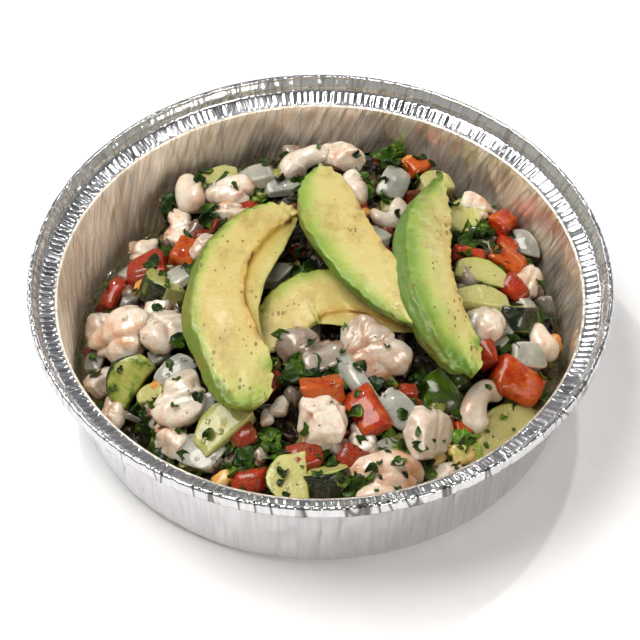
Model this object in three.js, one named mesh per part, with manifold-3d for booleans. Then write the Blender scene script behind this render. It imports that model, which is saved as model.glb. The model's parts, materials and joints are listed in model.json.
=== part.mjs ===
// Shrimp ceviche in a round aluminium-foil container, with four avocado slices on top.
// Millimetres, +Z up. The origin is the middle of the container's flat base.
import * as THREE from 'three';
import { mergeVertices } from 'three/addons/utils/BufferGeometryUtils.js';
import Module from 'manifold-3d';

const wasm = await Module();
wasm.setup();

// ---- Driving dimensions ---------------------------------------------------------------

// The container: a pleated bowl with a flat shelf and an upright rolled hem.
const SHEET = 0.5;
const BASE_RADIUS = 71.5;
const CORNER_RADIUS = 7;
const WALL_TOP_RADIUS = 81.3;
const WALL_TOP_HEIGHT = 38.2;
const FOLD_RADIUS = 86.9;
const FOLD_HEIGHT = 40.4;
const CREST_RADIUS = 89.2;
const CREST_HEIGHT = 45;
const HEM_RADIUS = 90.5;
const HEM_FOOT_HEIGHT = 40.4;
const HEM_TOP_HEIGHT = 44.1;
const HEM_LIP = 0.7;
const PLEATS = 70;
const PLEAT_DEPTH = 0.3;

// The salad and the lime juice that it stands in.
const GAP = 0.3;
const SLACK = 0.1;
const SALAD_FOOT = SHEET + GAP;
const SALAD_RADIUS = 69;
const SALAD_MIDDLE_HEIGHT = 30;
const SALAD_CROWN_POWER = 2.3;
const JUICE_LEVEL = 7;
const OVERHANG_HEIGHT = JUICE_LEVEL + 0.8;
const HEADROOM = 60;
const LUMP_HEIGHT = 1.1;
const CORE_RINGS = 8;
const CORE_SIDES = 36;
const ROUND_SIDES = 60;

// How high the salad stands at its edge, and how far it leans out over the juice,
// by bearing: degrees anticlockwise from +X, height, lean.
const SALAD_EDGE = [
  [0, 15, 6], [20, 17, 6], [45, 20, 5], [70, 28, 6], [92, 27, 5], [125, 24, 4],
  [150, 12, 0], [180, 8.5, 0], [205, 8.5, 0], [225, 9, 0], [250, 13, 3], [270, 16, 4],
  [290, 14, 3], [312, 9, 0], [330, 8.5, 0], [345, 10, 3], [360, 15, 6],
];

const PETAL_THICKNESS = 2.3;
const LEAF_THICKNESS = 0.9;

// The pieces that show on the salad: kind, x, y, length, turn in degrees and lift.
const PIECES = [
  ['shrimp', 17, -17, 25, 170, 0], ['shrimp', -3, -15, 20, 20, 0],
  ['shrimp', 1, -44, 22, 70, 2], ['shrimp', 32, -45, 22, 250, 2],
  ['shrimp', 20, -61, 20, 5, 0], ['shrimp', 49, -30, 20, 60, 1],
  ['shrimp', -48, -4, 17, 100, 2], ['shrimp', -60, -1, 18, 350, 2],
  ['shrimp', -43, -31, 16, 30, 1], ['shrimp', -42, 52, 17, 110, 1],
  ['shrimp', -46, 41, 13, 75, 0], ['shrimp', -29, 50, 14, 0, 1],
  ['shrimp', -29, 42, 11, 10, 0], ['shrimp', -6, 63, 17, 30, 1],
  ['shrimp', 6, 65, 15, 160, 1], ['shrimp', 11, 50, 16, 100, 1],
  ['shrimp', 23, 40, 12, 220, 0], ['shrimp', 28, 37, 12, 70, 0],
  ['shrimp', 52, -1, 14, 60, 0], ['shrimp', 70, -4, 15, 120, 0],
  ['shrimp', -46, -41, 13, 330, 0], ['shrimp', -12, -38, 14, 60, 0],
  ['onion', -45, -19, 11, 40, 1], ['onion', -36, -48, 13, 330, 1],
  ['onion', -22, 57, 14, 200, 0], ['onion', 24, 55, 15, 80, 1],
  ['onion', 67, 37, 10, 340, 0], ['onion', 65, -9, 11, 10, 0],
  ['onion', 11, -29, 17, 300, 1], ['onion', 23, -37, 15, 320, 0],
  ['onion', -33, -33, 12, 20, 1], ['onion', -13, 14, 9, 60, 0],
  ['cucumber', -30, -41, 19, 35, 0], ['cucumber', -10, -62, 15, 80, 1],
  ['cucumber', 2, -63, 14, 200, 0], ['cucumber', -50, 15, 16, 150, 1],
  ['cucumber', 51, 19, 15, 350, 0], ['cucumber', 50, 6, 17, 5, 1],
  ['cucumber', -60, -16, 16, 300, 1], ['cucumber', 56, -33, 20, 30, -2],
  ['cucumber', 62, 2, 14, 70, 1], ['cucumber', 46, 43, 17, 60, 0],
  ['tomato', 1, -35, 13, 350, 4], ['tomato', 14, -40, 15, 300, 1],
  ['tomato', -5, -55, 12, 15, 0], ['tomato', 11, -55, 12, 340, 0],
  ['tomato', -21, -60, 12, 5, 0], ['tomato', 61, -20, 17, 345, 2],
  ['tomato', 51, -11, 12, 290, 0], ['tomato', -55, 27, 15, 5, 1],
  ['tomato', -43, 29, 11, 70, 1], ['tomato', -23, 44, 7, 30, 1],
  ['tomato', 59, 43, 11, 50, 1], ['tomato', 47, 25, 11, 0, 0],
  ['tomato', 61, 27, 12, 330, 0], ['tomato', 61, 14, 10, 320, 1],
  ['tomato', 32, 63, 9, 40, 0], ['tomato', -23, -46, 9, 20, 0],
  ['pepper', 36, -28, 15, 310, 1],
  ['leaf', -5, -28, 15, 0, 1], ['leaf', 48, 37, 15, 20, 2], ['leaf', -50, -33, 10, 80, 1],
  ['leaf', 24, 71, 10, 0, 3], ['leaf', -25, -53, 10, 60, 1], ['leaf', 8, -59, 10, 10, 2],
  ['leaf', 31, -53, 9, 300, 3], ['leaf', -46, -45, 9, 330, 1], ['leaf', 57, -9, 9, 280, 2],
  ['leaf', 66, 5, 8, 30, 1],
  ['kernel', 43, -47, 8, 20, 1], ['kernel', 57, 4, 6, 0, 1], ['kernel', 74, -3, 5, 90, 1],
  ['kernel', 43, -41, 7, 50, 1],
];

// Avocado slices. The route runs down the middle of the upper cut face from one tip to
// the other, with the green outer side on the right hand, and the roll lifts that side.
// ends says how pointed the first and the last tip are: 0.4 is blunt and 0.9 sharp.
const AVOCADO_STATIONS = 14;
const AVOCADO_SIDES = 10;
const AVOCADO_SLICES = [
  {
    route: [[-9, 37, 38], [-21, 22, 42.5], [-30, -9, 43.5], [-21, -45, 37]],
    width: 24, thickness: 11, roll: -5, pitDepth: 5.5, pitAt: 0.42, ends: [0.6, 0.42],
  },
  {
    route: [[0, 57, 38], [2, 36, 42.5], [11, 9, 47], [28, -18, 44]],
    width: 23, thickness: 10, roll: 4, pitDepth: 1.5, pitAt: 0.5, ends: [0.85, 0.7],
  },
  {
    route: [[40, 50, 37.5], [34, 22, 43], [35.5, -6, 45.5], [46, -33, 39]],
    width: 19, thickness: 11, roll: 30, pitDepth: 1.5, pitAt: 0.5, ends: [1.1, 0.4],
  },
  {
    route: [[33, -12, 35.5], [14, -2, 37], [-5, -1, 36.5], [-20, -19, 32]],
    width: 21, thickness: 7, roll: 3, pitDepth: 4, pitAt: 0.35, ends: [0.7, 0.5],
  },
];

// ---- Helpers --------------------------------------------------------------------------

function seededRandom(seed) {
  let state = seed;
  return () => {
    state = (state + 0x6d2b79f5) | 0;
    let mixed = Math.imul(state ^ (state >>> 15), 1 | state);
    mixed = (mixed + Math.imul(mixed ^ (mixed >>> 7), 61 | mixed)) ^ mixed;
    return ((mixed ^ (mixed >>> 14)) >>> 0) / 4294967296;
  };
}

// Moves every vertex of a geometry to place(u, v, point), and joins its seams.
function reshaped(geometry, place) {
  const position = geometry.getAttribute('position');
  const uv = geometry.getAttribute('uv');
  const point = new THREE.Vector3();
  for (let i = 0; i < position.count; i += 1) {
    point.fromBufferAttribute(position, i);
    const around = (uv.getX(i) + 1) % 1;
    const moved = place(around, uv.getY(i), point);
    position.setXYZ(i, moved.x, moved.y, moved.z);
  }
  return welded(geometry);
}

// A closed shell with shared vertices, no empty triangles and its faces outwards.
function welded(geometry) {
  geometry.deleteAttribute('normal');
  geometry.deleteAttribute('uv');
  const shell = mergeVertices(geometry, 1e-3);
  const index = shell.getIndex().array;
  const kept = [];
  for (let i = 0; i < index.length; i += 3) {
    const [a, b, c] = [index[i], index[i + 1], index[i + 2]];
    if (a !== b && b !== c && c !== a) kept.push(a, b, c);
  }
  shell.setIndex(signedVolume(shell, kept) < 0 ? kept.reverse() : kept);
  return shell;
}

function signedVolume(geometry, index) {
  const position = geometry.getAttribute('position');
  const [a, b, c] = [new THREE.Vector3(), new THREE.Vector3(), new THREE.Vector3()];
  let volume = 0;
  for (let i = 0; i < index.length; i += 3) {
    a.fromBufferAttribute(position, index[i]);
    b.fromBufferAttribute(position, index[i + 1]);
    c.fromBufferAttribute(position, index[i + 2]);
    volume += a.dot(b.cross(c)) / 6;
  }
  return volume;
}

function toSolid(geometry) {
  const vertProperties = new Float32Array(geometry.getAttribute('position').array);
  const triVerts = new Uint32Array(geometry.getIndex().array);
  return new wasm.Manifold(new wasm.Mesh({ numProp: 3, vertProperties, triVerts }));
}

function toGeometry(solid) {
  const mesh = solid.getMesh();
  const geometry = new THREE.BufferGeometry();
  geometry.setAttribute('position', new THREE.BufferAttribute(mesh.vertProperties, 3));
  geometry.setIndex(new THREE.BufferAttribute(mesh.triVerts, 1));
  return geometry;
}

// A lump grown on a sphere: place(around 0..1, along 0..1) gives each point.
function lump(sides, stations, place) {
  const sphere = new THREE.SphereGeometry(1, sides, stations);
  return reshaped(sphere, (around, along) => place(around, 1 - along));
}

// A profile of [radius, height] points turned about the Z axis.
function turned(profile) {
  const points = profile.map(([radius, height]) => new THREE.Vector2(radius, height));
  const lathe = new THREE.LatheGeometry(points, ROUND_SIDES);
  return reshaped(lathe, (u, v, point) => new THREE.Vector3(point.x, -point.z, point.y));
}

// ---- The container --------------------------------------------------------------------

// Where the wall leaves the rounded corner, so that it is tangent to it.
const wallFoot = (() => {
  const run = WALL_TOP_RADIUS + SHEET - BASE_RADIUS;
  const rise = WALL_TOP_HEIGHT - SHEET - CORNER_RADIUS;
  const angle = Math.atan2(rise, run) - Math.acos(CORNER_RADIUS / Math.hypot(run, rise));
  return { angle, tilt: Math.tan(-angle) };
})();

function cornerPoint(radius, angle) {
  const r = BASE_RADIUS + radius * Math.cos(angle);
  return new THREE.Vector2(r, CORNER_RADIUS + radius * Math.sin(angle));
}

// The inside of the container at a height, where its wall or its corner is.
function insideRadius(height) {
  const foot = cornerPoint(CORNER_RADIUS - SHEET, wallFoot.angle);
  if (height >= foot.y) return foot.x + (height - foot.y) * wallFoot.tilt;
  const drop = Math.min(CORNER_RADIUS - height, CORNER_RADIUS - SHEET);
  return BASE_RADIUS + Math.sqrt((CORNER_RADIUS - SHEET) ** 2 - drop ** 2);
}

function trayGeometry() {
  const halfCorner = (wallFoot.angle - Math.PI / 2) / 2;
  const inner = CORNER_RADIUS - SHEET;
  const profile = [
    new THREE.Vector2(0, 0),
    new THREE.Vector2(BASE_RADIUS, 0),
    cornerPoint(CORNER_RADIUS, halfCorner),
    cornerPoint(CORNER_RADIUS, wallFoot.angle),
    new THREE.Vector2(WALL_TOP_RADIUS + SHEET, WALL_TOP_HEIGHT - SHEET),
    new THREE.Vector2(HEM_RADIUS - HEM_LIP, HEM_FOOT_HEIGHT),
    new THREE.Vector2(HEM_RADIUS, HEM_FOOT_HEIGHT + HEM_LIP),
    new THREE.Vector2(HEM_RADIUS, HEM_TOP_HEIGHT),
    new THREE.Vector2(CREST_RADIUS, CREST_HEIGHT),
    new THREE.Vector2(FOLD_RADIUS, FOLD_HEIGHT),
    new THREE.Vector2(WALL_TOP_RADIUS, WALL_TOP_HEIGHT),
    cornerPoint(inner, wallFoot.angle),
    cornerPoint(inner, halfCorner),
    new THREE.Vector2(BASE_RADIUS, SHEET),
    new THREE.Vector2(0, SHEET),
  ];
  const random = seededRandom(7);
  const folds = Array.from({ length: 2 * PLEATS }, (_, i) => {
    const side = i % 2 ? 1 : -1;
    return side * PLEAT_DEPTH * (0.4 + 0.6 * random());
  });
  const lathe = new THREE.LatheGeometry(profile, folds.length);
  return reshaped(lathe, (around, along, point) => {
    const fold = folds[Math.round(around * folds.length) % folds.length];
    const onWall = point.y > 1 && point.y < WALL_TOP_HEIGHT + 0.1;
    const radius = Math.hypot(point.x, point.z);
    const moved = radius === 0 ? 0 : (radius + (onWall ? fold : 0)) / radius;
    const crimp = Math.abs(point.y - FOLD_HEIGHT) < 0.1 && radius < HEM_RADIUS - 1 ? fold / 2 : 0;
    return new THREE.Vector3(point.x * moved, -point.z * moved, point.y + crimp);
  });
}

// ---- The salad ------------------------------------------------------------------------

// The salad's edge at a bearing in degrees: column 1 is its height, column 2 its lean.
function edgeValue(bearing, column) {
  const turn = ((bearing % 360) + 360) % 360;
  const next = SALAD_EDGE.findIndex((row, i) => i > 0 && turn <= row[0]);
  const [before, after] = [SALAD_EDGE[next - 1], SALAD_EDGE[next]];
  const part = THREE.MathUtils.smoothstep(turn, before[0], after[0]);
  return THREE.MathUtils.lerp(before[column], after[column], part);
}

function edgeRadius(bearing) {
  return SALAD_RADIUS + edgeValue(bearing, 2);
}

function saladHeight(x, y) {
  const bearing = THREE.MathUtils.radToDeg(Math.atan2(y, x));
  const edge = edgeValue(bearing, 1);
  const out = Math.min(Math.hypot(x, y) / edgeRadius(bearing), 1);
  return edge + (SALAD_MIDDLE_HEIGHT - edge) * (1 - out ** SALAD_CROWN_POWER);
}

// The heap without its pieces: rings out to the edge, then a skirt down to the foot.
function coreGeometry() {
  const rings = CORE_RINGS;
  const sides = CORE_SIDES;
  const stations = rings + 4;
  const random = seededRandom(21);
  const bumps = Array.from({ length: (rings + 1) * sides }, () => LUMP_HEIGHT * (2 * random() - 1));
  return lump(sides, stations, (around, along) => {
    const ring = Math.round(along * stations);
    const angle = around * 2 * Math.PI;
    const bearing = THREE.MathUtils.radToDeg(angle);
    const out = Math.min(ring / rings, 1);
    const radius = ring <= rings ? out * edgeRadius(bearing) : SALAD_RADIUS;
    const [x, y] = [radius * Math.cos(angle), radius * Math.sin(angle)];
    if (ring === stations) return new THREE.Vector3(0, 0, SALAD_FOOT);
    if (ring > rings + 2) return new THREE.Vector3(x, y, SALAD_FOOT);
    if (ring > rings) {
      const shoulder = Math.min(OVERHANG_HEIGHT, saladHeight(x, y) - 0.5);
      return new THREE.Vector3(x, y, shoulder - (ring - rings - 1) * 3);
    }
    const onTop = ring > 0 && ring < rings;
    const bump = onTop ? bumps[ring * sides + (Math.round(around * sides) % sides)] : 0;
    return new THREE.Vector3(x, y, saladHeight(x, y) + bump);
  });
}

// Room for the pieces: inside the wall, above the juice.
function roomSolid() {
  const clear = GAP + PLEAT_DEPTH + SLACK;
  const ledge = JUICE_LEVEL + GAP + SLACK;
  const profile = [
    [0, SALAD_FOOT], [SALAD_RADIUS, SALAD_FOOT], [SALAD_RADIUS, ledge],
    [insideRadius(ledge) - clear, ledge],
    [insideRadius(WALL_TOP_HEIGHT) - clear, WALL_TOP_HEIGHT],
    [insideRadius(WALL_TOP_HEIGHT) - clear, HEADROOM], [0, HEADROOM],
  ];
  return toSolid(turned(profile));
}

// A curled chunk of peeled shrimp: a bent, ridged bean.
function shrimpGeometry(length) {
  return lump(8, 6, (around, along) => {
    const angle = around * 2 * Math.PI;
    const reach = Math.cos(Math.PI * along);
    const girth = Math.sqrt(Math.max(0, 1 - reach * reach));
    const ridge = 1 + 0.1 * Math.cos(3 * Math.PI * reach);
    const bend = 0.18 * length * (0.4 - reach * reach);
    const y = bend + 0.34 * length * girth * ridge * Math.cos(angle);
    return new THREE.Vector3(0.5 * length * reach, y, 0.29 * length * girth * Math.sin(angle));
  });
}

// A rough dice of tomato, its corners a little out of square.
function tomatoGeometry(length, random) {
  const box = new THREE.BoxGeometry(length, 0.78 * length, 0.62 * length);
  const corners = new Map();
  return reshaped(box, (u, v, point) => {
    const key = [point.x, point.y, point.z].map(Math.sign).join();
    if (!corners.has(key)) {
      const shift = () => (random() - 0.5) * 0.22 * length;
      corners.set(key, new THREE.Vector3(shift(), shift(), shift()));
    }
    return point.clone().add(corners.get(key));
  });
}

// A curved slab: a piece of onion layer or of pepper wall.
function petalGeometry(length, width, curl) {
  const box = new THREE.BoxGeometry(length, width, PETAL_THICKNESS, 2, 2, 1);
  return reshaped(box, (u, v, point) => {
    const along = point.x / length;
    const across = point.y / width;
    const narrowing = 1 - 0.9 * along * along;
    const rise = curl * (1 - 4 * along * along - 1.5 * across * across);
    return new THREE.Vector3(point.x, point.y * narrowing, point.z + rise);
  });
}

// A half-moon chunk of cucumber, cut square across.
function cucumberGeometry(length) {
  const outline = new THREE.Shape();
  outline.absarc(0, 0, length / 2, 0, Math.PI, false);
  outline.closePath();
  const depth = 0.5 * length;
  const chunk = new THREE.ExtrudeGeometry(outline, { depth, bevelEnabled: false, curveSegments: 5 });
  chunk.translate(0, -0.2 * length, -depth / 2);
  return welded(chunk);
}

// A three-lobed coriander leaf, thin and wavy.
function leafGeometry(length) {
  const outline = new THREE.Shape();
  const lobes = 9;
  for (let i = 0; i < lobes; i += 1) {
    const angle = ((i / lobes) * 2 - 1) * Math.PI;
    const reach = length * (i % 2 ? 0.3 : 0.5) * (1 - 0.3 * Math.cos(angle + Math.PI));
    outline[i ? 'lineTo' : 'moveTo'](reach * Math.cos(angle), reach * Math.sin(angle));
  }
  outline.closePath();
  const leaf = new THREE.ExtrudeGeometry(outline, { depth: LEAF_THICKNESS, bevelEnabled: false });
  return reshaped(leaf, (u, v, point) => {
    const wave = 0.12 * length * Math.sin((point.x + 0.6 * point.y) * (5 / length));
    return new THREE.Vector3(point.x, point.y, point.z + wave);
  });
}

function kernelGeometry(length) {
  return lump(6, 4, (around, along) => {
    const angle = around * 2 * Math.PI;
    const girth = Math.sin(Math.PI * along) * 0.38 * length;
    const reach = 0.5 * length * Math.cos(Math.PI * along);
    return new THREE.Vector3(reach, girth * Math.cos(angle), girth * 0.8 * Math.sin(angle));
  });
}

// Each kind's geometry and how much of its length its middle stands above the salad.
const KINDS = {
  shrimp: { make: shrimpGeometry, rise: 0.1 },
  onion: { make: (length) => petalGeometry(length, 0.75 * length, 0.14 * length), rise: 0.06 },
  cucumber: { make: cucumberGeometry, rise: 0.1 },
  tomato: { make: tomatoGeometry, rise: 0.12 },
  pepper: { make: (length) => petalGeometry(length, 0.8 * length, 0.22 * length), rise: 0.1 },
  leaf: { make: leafGeometry, rise: 0.04 },
  kernel: { make: kernelGeometry, rise: 0.2 },
};

// A piece laid on the salad's slope.
function placedPiece([kind, x, y, length, turn, lift], random) {
  const step = 1;
  const slopeX = (saladHeight(x + step, y) - saladHeight(x - step, y)) / (2 * step);
  const slopeY = (saladHeight(x, y + step) - saladHeight(x, y - step)) / (2 * step);
  const lean = 0.25;
  const up = new THREE.Vector3(
    -slopeX + lean * (random() - 0.5),
    -slopeY + lean * (random() - 0.5),
    1,
  ).normalize();
  const settle = new THREE.Quaternion().setFromUnitVectors(new THREE.Vector3(0, 0, 1), up);
  const spin = new THREE.Quaternion().setFromAxisAngle(
    new THREE.Vector3(0, 0, 1),
    THREE.MathUtils.degToRad(turn),
  );
  const geometry = KINDS[kind].make(length, random);
  geometry.applyQuaternion(settle.multiply(spin));
  const height = saladHeight(x, y) + lift + KINDS[kind].rise * length;
  geometry.translate(x, y, height);
  return toSolid(geometry);
}

// Drops what a cut has left loose.
function largestPart(solid) {
  const parts = solid.decompose();
  return parts.reduce((best, part) => (part.volume() > best.volume() ? part : best));
}

function saladGeometry(sliceRooms) {
  const random = seededRandom(11);
  let pieces = null;
  for (const entry of PIECES) {
    const solid = placedPiece(entry, random);
    pieces = pieces ? pieces.add(solid) : solid;
  }
  let salad = toSolid(coreGeometry()).add(pieces.intersect(roomSolid()));
  for (const room of sliceRooms) salad = salad.subtract(toSolid(room));
  return toGeometry(largestPart(salad));
}

// ---- The lime juice -------------------------------------------------------------------

// A ring between the salad and the wall, up to the juice's level.
function juiceGeometry() {
  const clear = GAP + PLEAT_DEPTH;
  const inner = SALAD_RADIUS + GAP;
  const bend = CORNER_RADIUS / 3;
  return turned([
    [inner, SALAD_FOOT], [BASE_RADIUS, SALAD_FOOT],
    [insideRadius(bend) - clear, bend + GAP],
    [insideRadius(JUICE_LEVEL) - clear, JUICE_LEVEL],
    [inner, JUICE_LEVEL], [inner, SALAD_FOOT],
  ]);
}

// ---- The avocado slices ---------------------------------------------------------------

// A wedge of ripe avocado. Its upper cut face runs along the route, the outer side is
// round, and the hollow that the stone left is a bay in the inner edge.
function avocadoGeometry(slice, margin = 0) {
  const { route, width, thickness, roll, pitDepth, pitAt, ends } = slice;
  const path = new THREE.CatmullRomCurve3(route.map((point) => new THREE.Vector3(...point)));
  const tilt = THREE.MathUtils.degToRad(roll);
  return lump(AVOCADO_SIDES, AVOCADO_STATIONS, (around, along) => {
    const centre = path.getPoint(along);
    const forward = path.getTangent(along);
    const right = new THREE.Vector3(forward.y, -forward.x, 0).normalize();
    const up = new THREE.Vector3().crossVectors(right, forward);
    const outward = right.clone().multiplyScalar(Math.cos(tilt)).addScaledVector(up, Math.sin(tilt));
    const normal = up.clone().multiplyScalar(Math.cos(tilt)).addScaledVector(right, -Math.sin(tilt));
    const end = Math.abs(2 * along - 1);
    const full = Math.max(0, 1 - end ** 2.3) ** ends[along < 0.5 ? 0 : 1];
    const bay = Math.max(0, 1 - ((along - pitAt) / 0.27) ** 2) * pitDepth;
    const half = (width / 2) * full + margin;
    const depth = thickness * Math.sqrt(Math.max(0, 1 - end ** 4)) + margin;
    const top = margin;
    const section = [
      [half, top], [half + 0.05 * width * full, -0.35 * depth],
      [half - 0.02 * width, -0.72 * depth], [half * 0.72, -depth],
      [half * 0.1, -0.92 * depth], [-half * 0.7, -0.7 * depth],
      [-half, -0.48 * depth], [-half + 0.45 * bay, -0.24 * depth],
      [-half + bay, top], [0, top + 0.25],
    ];
    const [across, above] = section[Math.round(around * AVOCADO_SIDES) % AVOCADO_SIDES];
    const tipped = along === 0 || along === 1;
    const reach = tipped ? (along === 0 ? -margin : margin) : 0;
    const point = centre.clone().addScaledVector(forward, reach);
    if (tipped) return point.addScaledVector(normal, -thickness / 3);
    return point.addScaledVector(outward, across).addScaledVector(normal, above);
  });
}

// ---- The object -----------------------------------------------------------------------

function piece(name, geometry, color, roughness, metalness = 0) {
  const material = new THREE.MeshStandardMaterial({ color, roughness, metalness });
  const mesh = new THREE.Mesh(geometry, material);
  mesh.name = name;
  return mesh;
}

const ceviche = new THREE.Group();
ceviche.add(piece('foil_tray', trayGeometry(), 0xc9cbd1, 0.28, 1));
ceviche.add(piece('lime_juice', juiceGeometry(), 0xd9d8a6, 0.05));

const sliceRooms = AVOCADO_SLICES.map((slice) => avocadoGeometry(slice, GAP + SLACK));
ceviche.add(piece('ceviche_salad', saladGeometry(sliceRooms), 0xe7dccb, 0.4));

AVOCADO_SLICES.forEach((slice, i) => {
  let solid = toSolid(avocadoGeometry(slice));
  sliceRooms.slice(0, i).forEach((room) => {
    solid = solid.subtract(toSolid(room));
  });
  ceviche.add(piece(`avocado_slice_${i + 1}`, toGeometry(largestPart(solid)), 0xd3cf6e, 0.45));
});

export default ceviche;
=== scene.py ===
# Shrimp ceviche in a round foil container: a lesson in cells.
# Everything is in metres, with Z up and the origin in the middle of the container's base.

# %% [markdown]
# The parts' frame comes first. It loads the container, the juice, the salad and the
# avocado slices as plain solids, and every finer piece below is made round them. The box
# of those solids is kept, and at the end it is set beside the finished dish's box.

# %% Load the frame
import json
import math

import bpy
import numpy as np
from mathutils import Matrix, Vector

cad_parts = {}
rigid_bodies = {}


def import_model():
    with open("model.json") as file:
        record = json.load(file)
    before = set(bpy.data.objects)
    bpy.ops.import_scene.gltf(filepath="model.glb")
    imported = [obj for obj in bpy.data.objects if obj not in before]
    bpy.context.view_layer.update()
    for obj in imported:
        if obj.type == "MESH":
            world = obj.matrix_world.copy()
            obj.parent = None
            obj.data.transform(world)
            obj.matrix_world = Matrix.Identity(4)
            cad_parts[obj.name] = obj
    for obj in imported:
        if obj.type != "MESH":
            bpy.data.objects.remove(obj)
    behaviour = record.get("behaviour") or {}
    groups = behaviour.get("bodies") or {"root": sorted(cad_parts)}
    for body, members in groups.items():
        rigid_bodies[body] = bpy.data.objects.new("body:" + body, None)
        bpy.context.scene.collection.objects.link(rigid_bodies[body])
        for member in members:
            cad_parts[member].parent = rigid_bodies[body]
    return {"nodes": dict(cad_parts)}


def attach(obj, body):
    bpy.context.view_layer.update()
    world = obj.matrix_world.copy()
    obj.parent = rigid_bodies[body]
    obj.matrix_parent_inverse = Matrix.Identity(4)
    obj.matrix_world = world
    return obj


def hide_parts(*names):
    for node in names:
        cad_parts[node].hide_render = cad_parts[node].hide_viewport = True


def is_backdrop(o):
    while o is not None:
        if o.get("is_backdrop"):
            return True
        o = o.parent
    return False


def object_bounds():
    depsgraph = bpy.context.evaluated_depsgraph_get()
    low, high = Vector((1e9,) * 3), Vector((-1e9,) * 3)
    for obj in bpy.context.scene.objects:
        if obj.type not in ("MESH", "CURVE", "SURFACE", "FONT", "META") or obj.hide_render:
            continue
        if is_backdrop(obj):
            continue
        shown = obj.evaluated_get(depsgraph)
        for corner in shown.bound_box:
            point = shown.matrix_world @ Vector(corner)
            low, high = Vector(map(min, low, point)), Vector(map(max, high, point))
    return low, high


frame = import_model()
CAD_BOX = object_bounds()
MM = 0.001
print("nodes:", ", ".join(sorted(frame["nodes"])))

# %% [markdown]
# Hand-cut food has no two pieces alike, so most shapes here are a simple form pushed about
# by a smooth wobble. A sum of sine waves in random directions is a wobble that costs
# almost nothing and gives the same result on every run. Noise from a texture would do as
# well, but numpy can work on a whole piece at once.

# %% Wobble, and a mesh from points
def wobble(points, size, seed, waves=9):
    """A smooth random value from about -1 to 1 at each point, for lumps of this size."""
    draw = np.random.default_rng(seed)
    total = np.zeros(len(points))
    for _ in range(waves):
        way = draw.normal(size=3)
        way *= 2 * np.pi / (size * draw.uniform(0.7, 1.8) * np.linalg.norm(way))
        total += np.sin(points @ way + draw.uniform(0, 2 * np.pi))
    return total * math.sqrt(2 / waves) * 0.6


def smooth_step(low, high, value):
    part = np.clip((value - low) / (high - low), 0, 1)
    return part * part * (3 - 2 * part)


def make_object(name, points_mm, faces, values=None):
    """A smooth-shaded mesh object from points in millimetres, with named float values."""
    mesh = bpy.data.meshes.new(name)
    mesh.from_pydata((np.asarray(points_mm) * MM).tolist(), [], faces)
    for key, numbers in (values or {}).items():
        layer = mesh.attributes.new(key, "FLOAT", "POINT")
        layer.data.foreach_set("value", np.asarray(numbers, dtype=np.float32))
    mesh.shade_smooth()
    mesh.update()
    made = bpy.data.objects.new(name, mesh)
    bpy.context.scene.collection.objects.link(made)
    return made


class Pile:
    """Collects the points, faces and values of many pieces that become one object."""

    def __init__(self):
        self.points, self.faces, self.values, self.count = [], [], {}, 0

    def put(self, points, faces, values):
        self.points.append(points)
        self.faces.extend([tuple(i + self.count for i in face) for face in faces])
        for key, numbers in values.items():
            whole = np.broadcast_to(np.asarray(numbers, dtype=float), (len(points),))
            self.values.setdefault(key, []).append(whole)
        self.count += len(points)

    def build(self, name):
        values = {key: np.concatenate(parts) for key, parts in self.values.items()}
        made = make_object(name, np.concatenate(self.points), self.faces, values)
        print(f"{name}: {len(self.points)} pieces, {len(self.faces)} faces")
        return made


# %% [markdown]
# A node tree is a list of nodes and links, both for a material and for Geometry Nodes.
# One small function adds a node, sets its properties, and fills its inputs with either a
# value or the output that feeds it. A sRGB hex colour is turned to linear light by one
# function, because Blender's sockets expect linear values.

# %% Nodes and colours
MATH = "ShaderNodeMath"
VECTOR = "ShaderNodeVectorMath"
JOIN = "ShaderNodeCombineXYZ"
SPLIT = "ShaderNodeSeparateXYZ"
NOISE = "ShaderNodeTexNoise"
CELLS = "ShaderNodeTexVoronoi"
RANGE = "ShaderNodeMapRange"
RAMP = "ShaderNodeValToRGB"
MIX = "ShaderNodeMix"
BUMP = "ShaderNodeBump"
FIELD = "GeometryNodeInputNamedAttribute"
ATTRIBUTE = "ShaderNodeAttribute"


def linear(colour):
    parts = [int(colour[i:i + 2], 16) / 255 for i in (1, 3, 5)]
    light = [p / 12.92 if p <= 0.04045 else ((p + 0.055) / 1.055) ** 2.4 for p in parts]
    return (*light, 1.0)


def find(sockets, key):
    if isinstance(key, int):
        return sockets[key]
    return next((s for s in sockets if s.identifier == key), None) or sockets[key]


def add(tree, kind, inputs=(), stops=None, output=0, **settings):
    """Adds a node and returns its output socket, or the node itself if output is None.

    inputs is a dict by socket name, or a tuple in the sockets' order.
    """
    node = tree.nodes.new(kind)
    for key, value in settings.items():
        setattr(node, key, value)
    pairs = inputs.items() if isinstance(inputs, dict) else enumerate(inputs)
    for key, value in pairs:
        if isinstance(value, bpy.types.NodeSocket):
            tree.links.new(value, find(node.inputs, key))
        else:
            find(node.inputs, key).default_value = value
    if stops:
        ramp = node.color_ramp
        while len(ramp.elements) < len(stops):
            ramp.elements.new(1.0)
        for element, (place, colour) in zip(ramp.elements, stops):
            element.position = place
            element.color = linear(colour)
    return node if output is None else find(node.outputs, output)


def new_material(name):
    """A new material, its tree, its Principled shader and its Object coordinates."""
    material = bpy.data.materials.new(name)
    material.use_nodes = True
    tree = material.node_tree
    shader = tree.nodes["Principled BSDF"]
    place = add(tree, "ShaderNodeTexCoord", output="Object")
    return material, tree, shader, place


def set_shader(tree, shader, **sockets):
    """Sets the shader's sockets; an underscore stands for a space in a socket's name."""
    for key, value in sockets.items():
        socket = shader.inputs[key.replace("_", " ")]
        if isinstance(value, bpy.types.NodeSocket):
            tree.links.new(value, socket)
        else:
            socket.default_value = value


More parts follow.
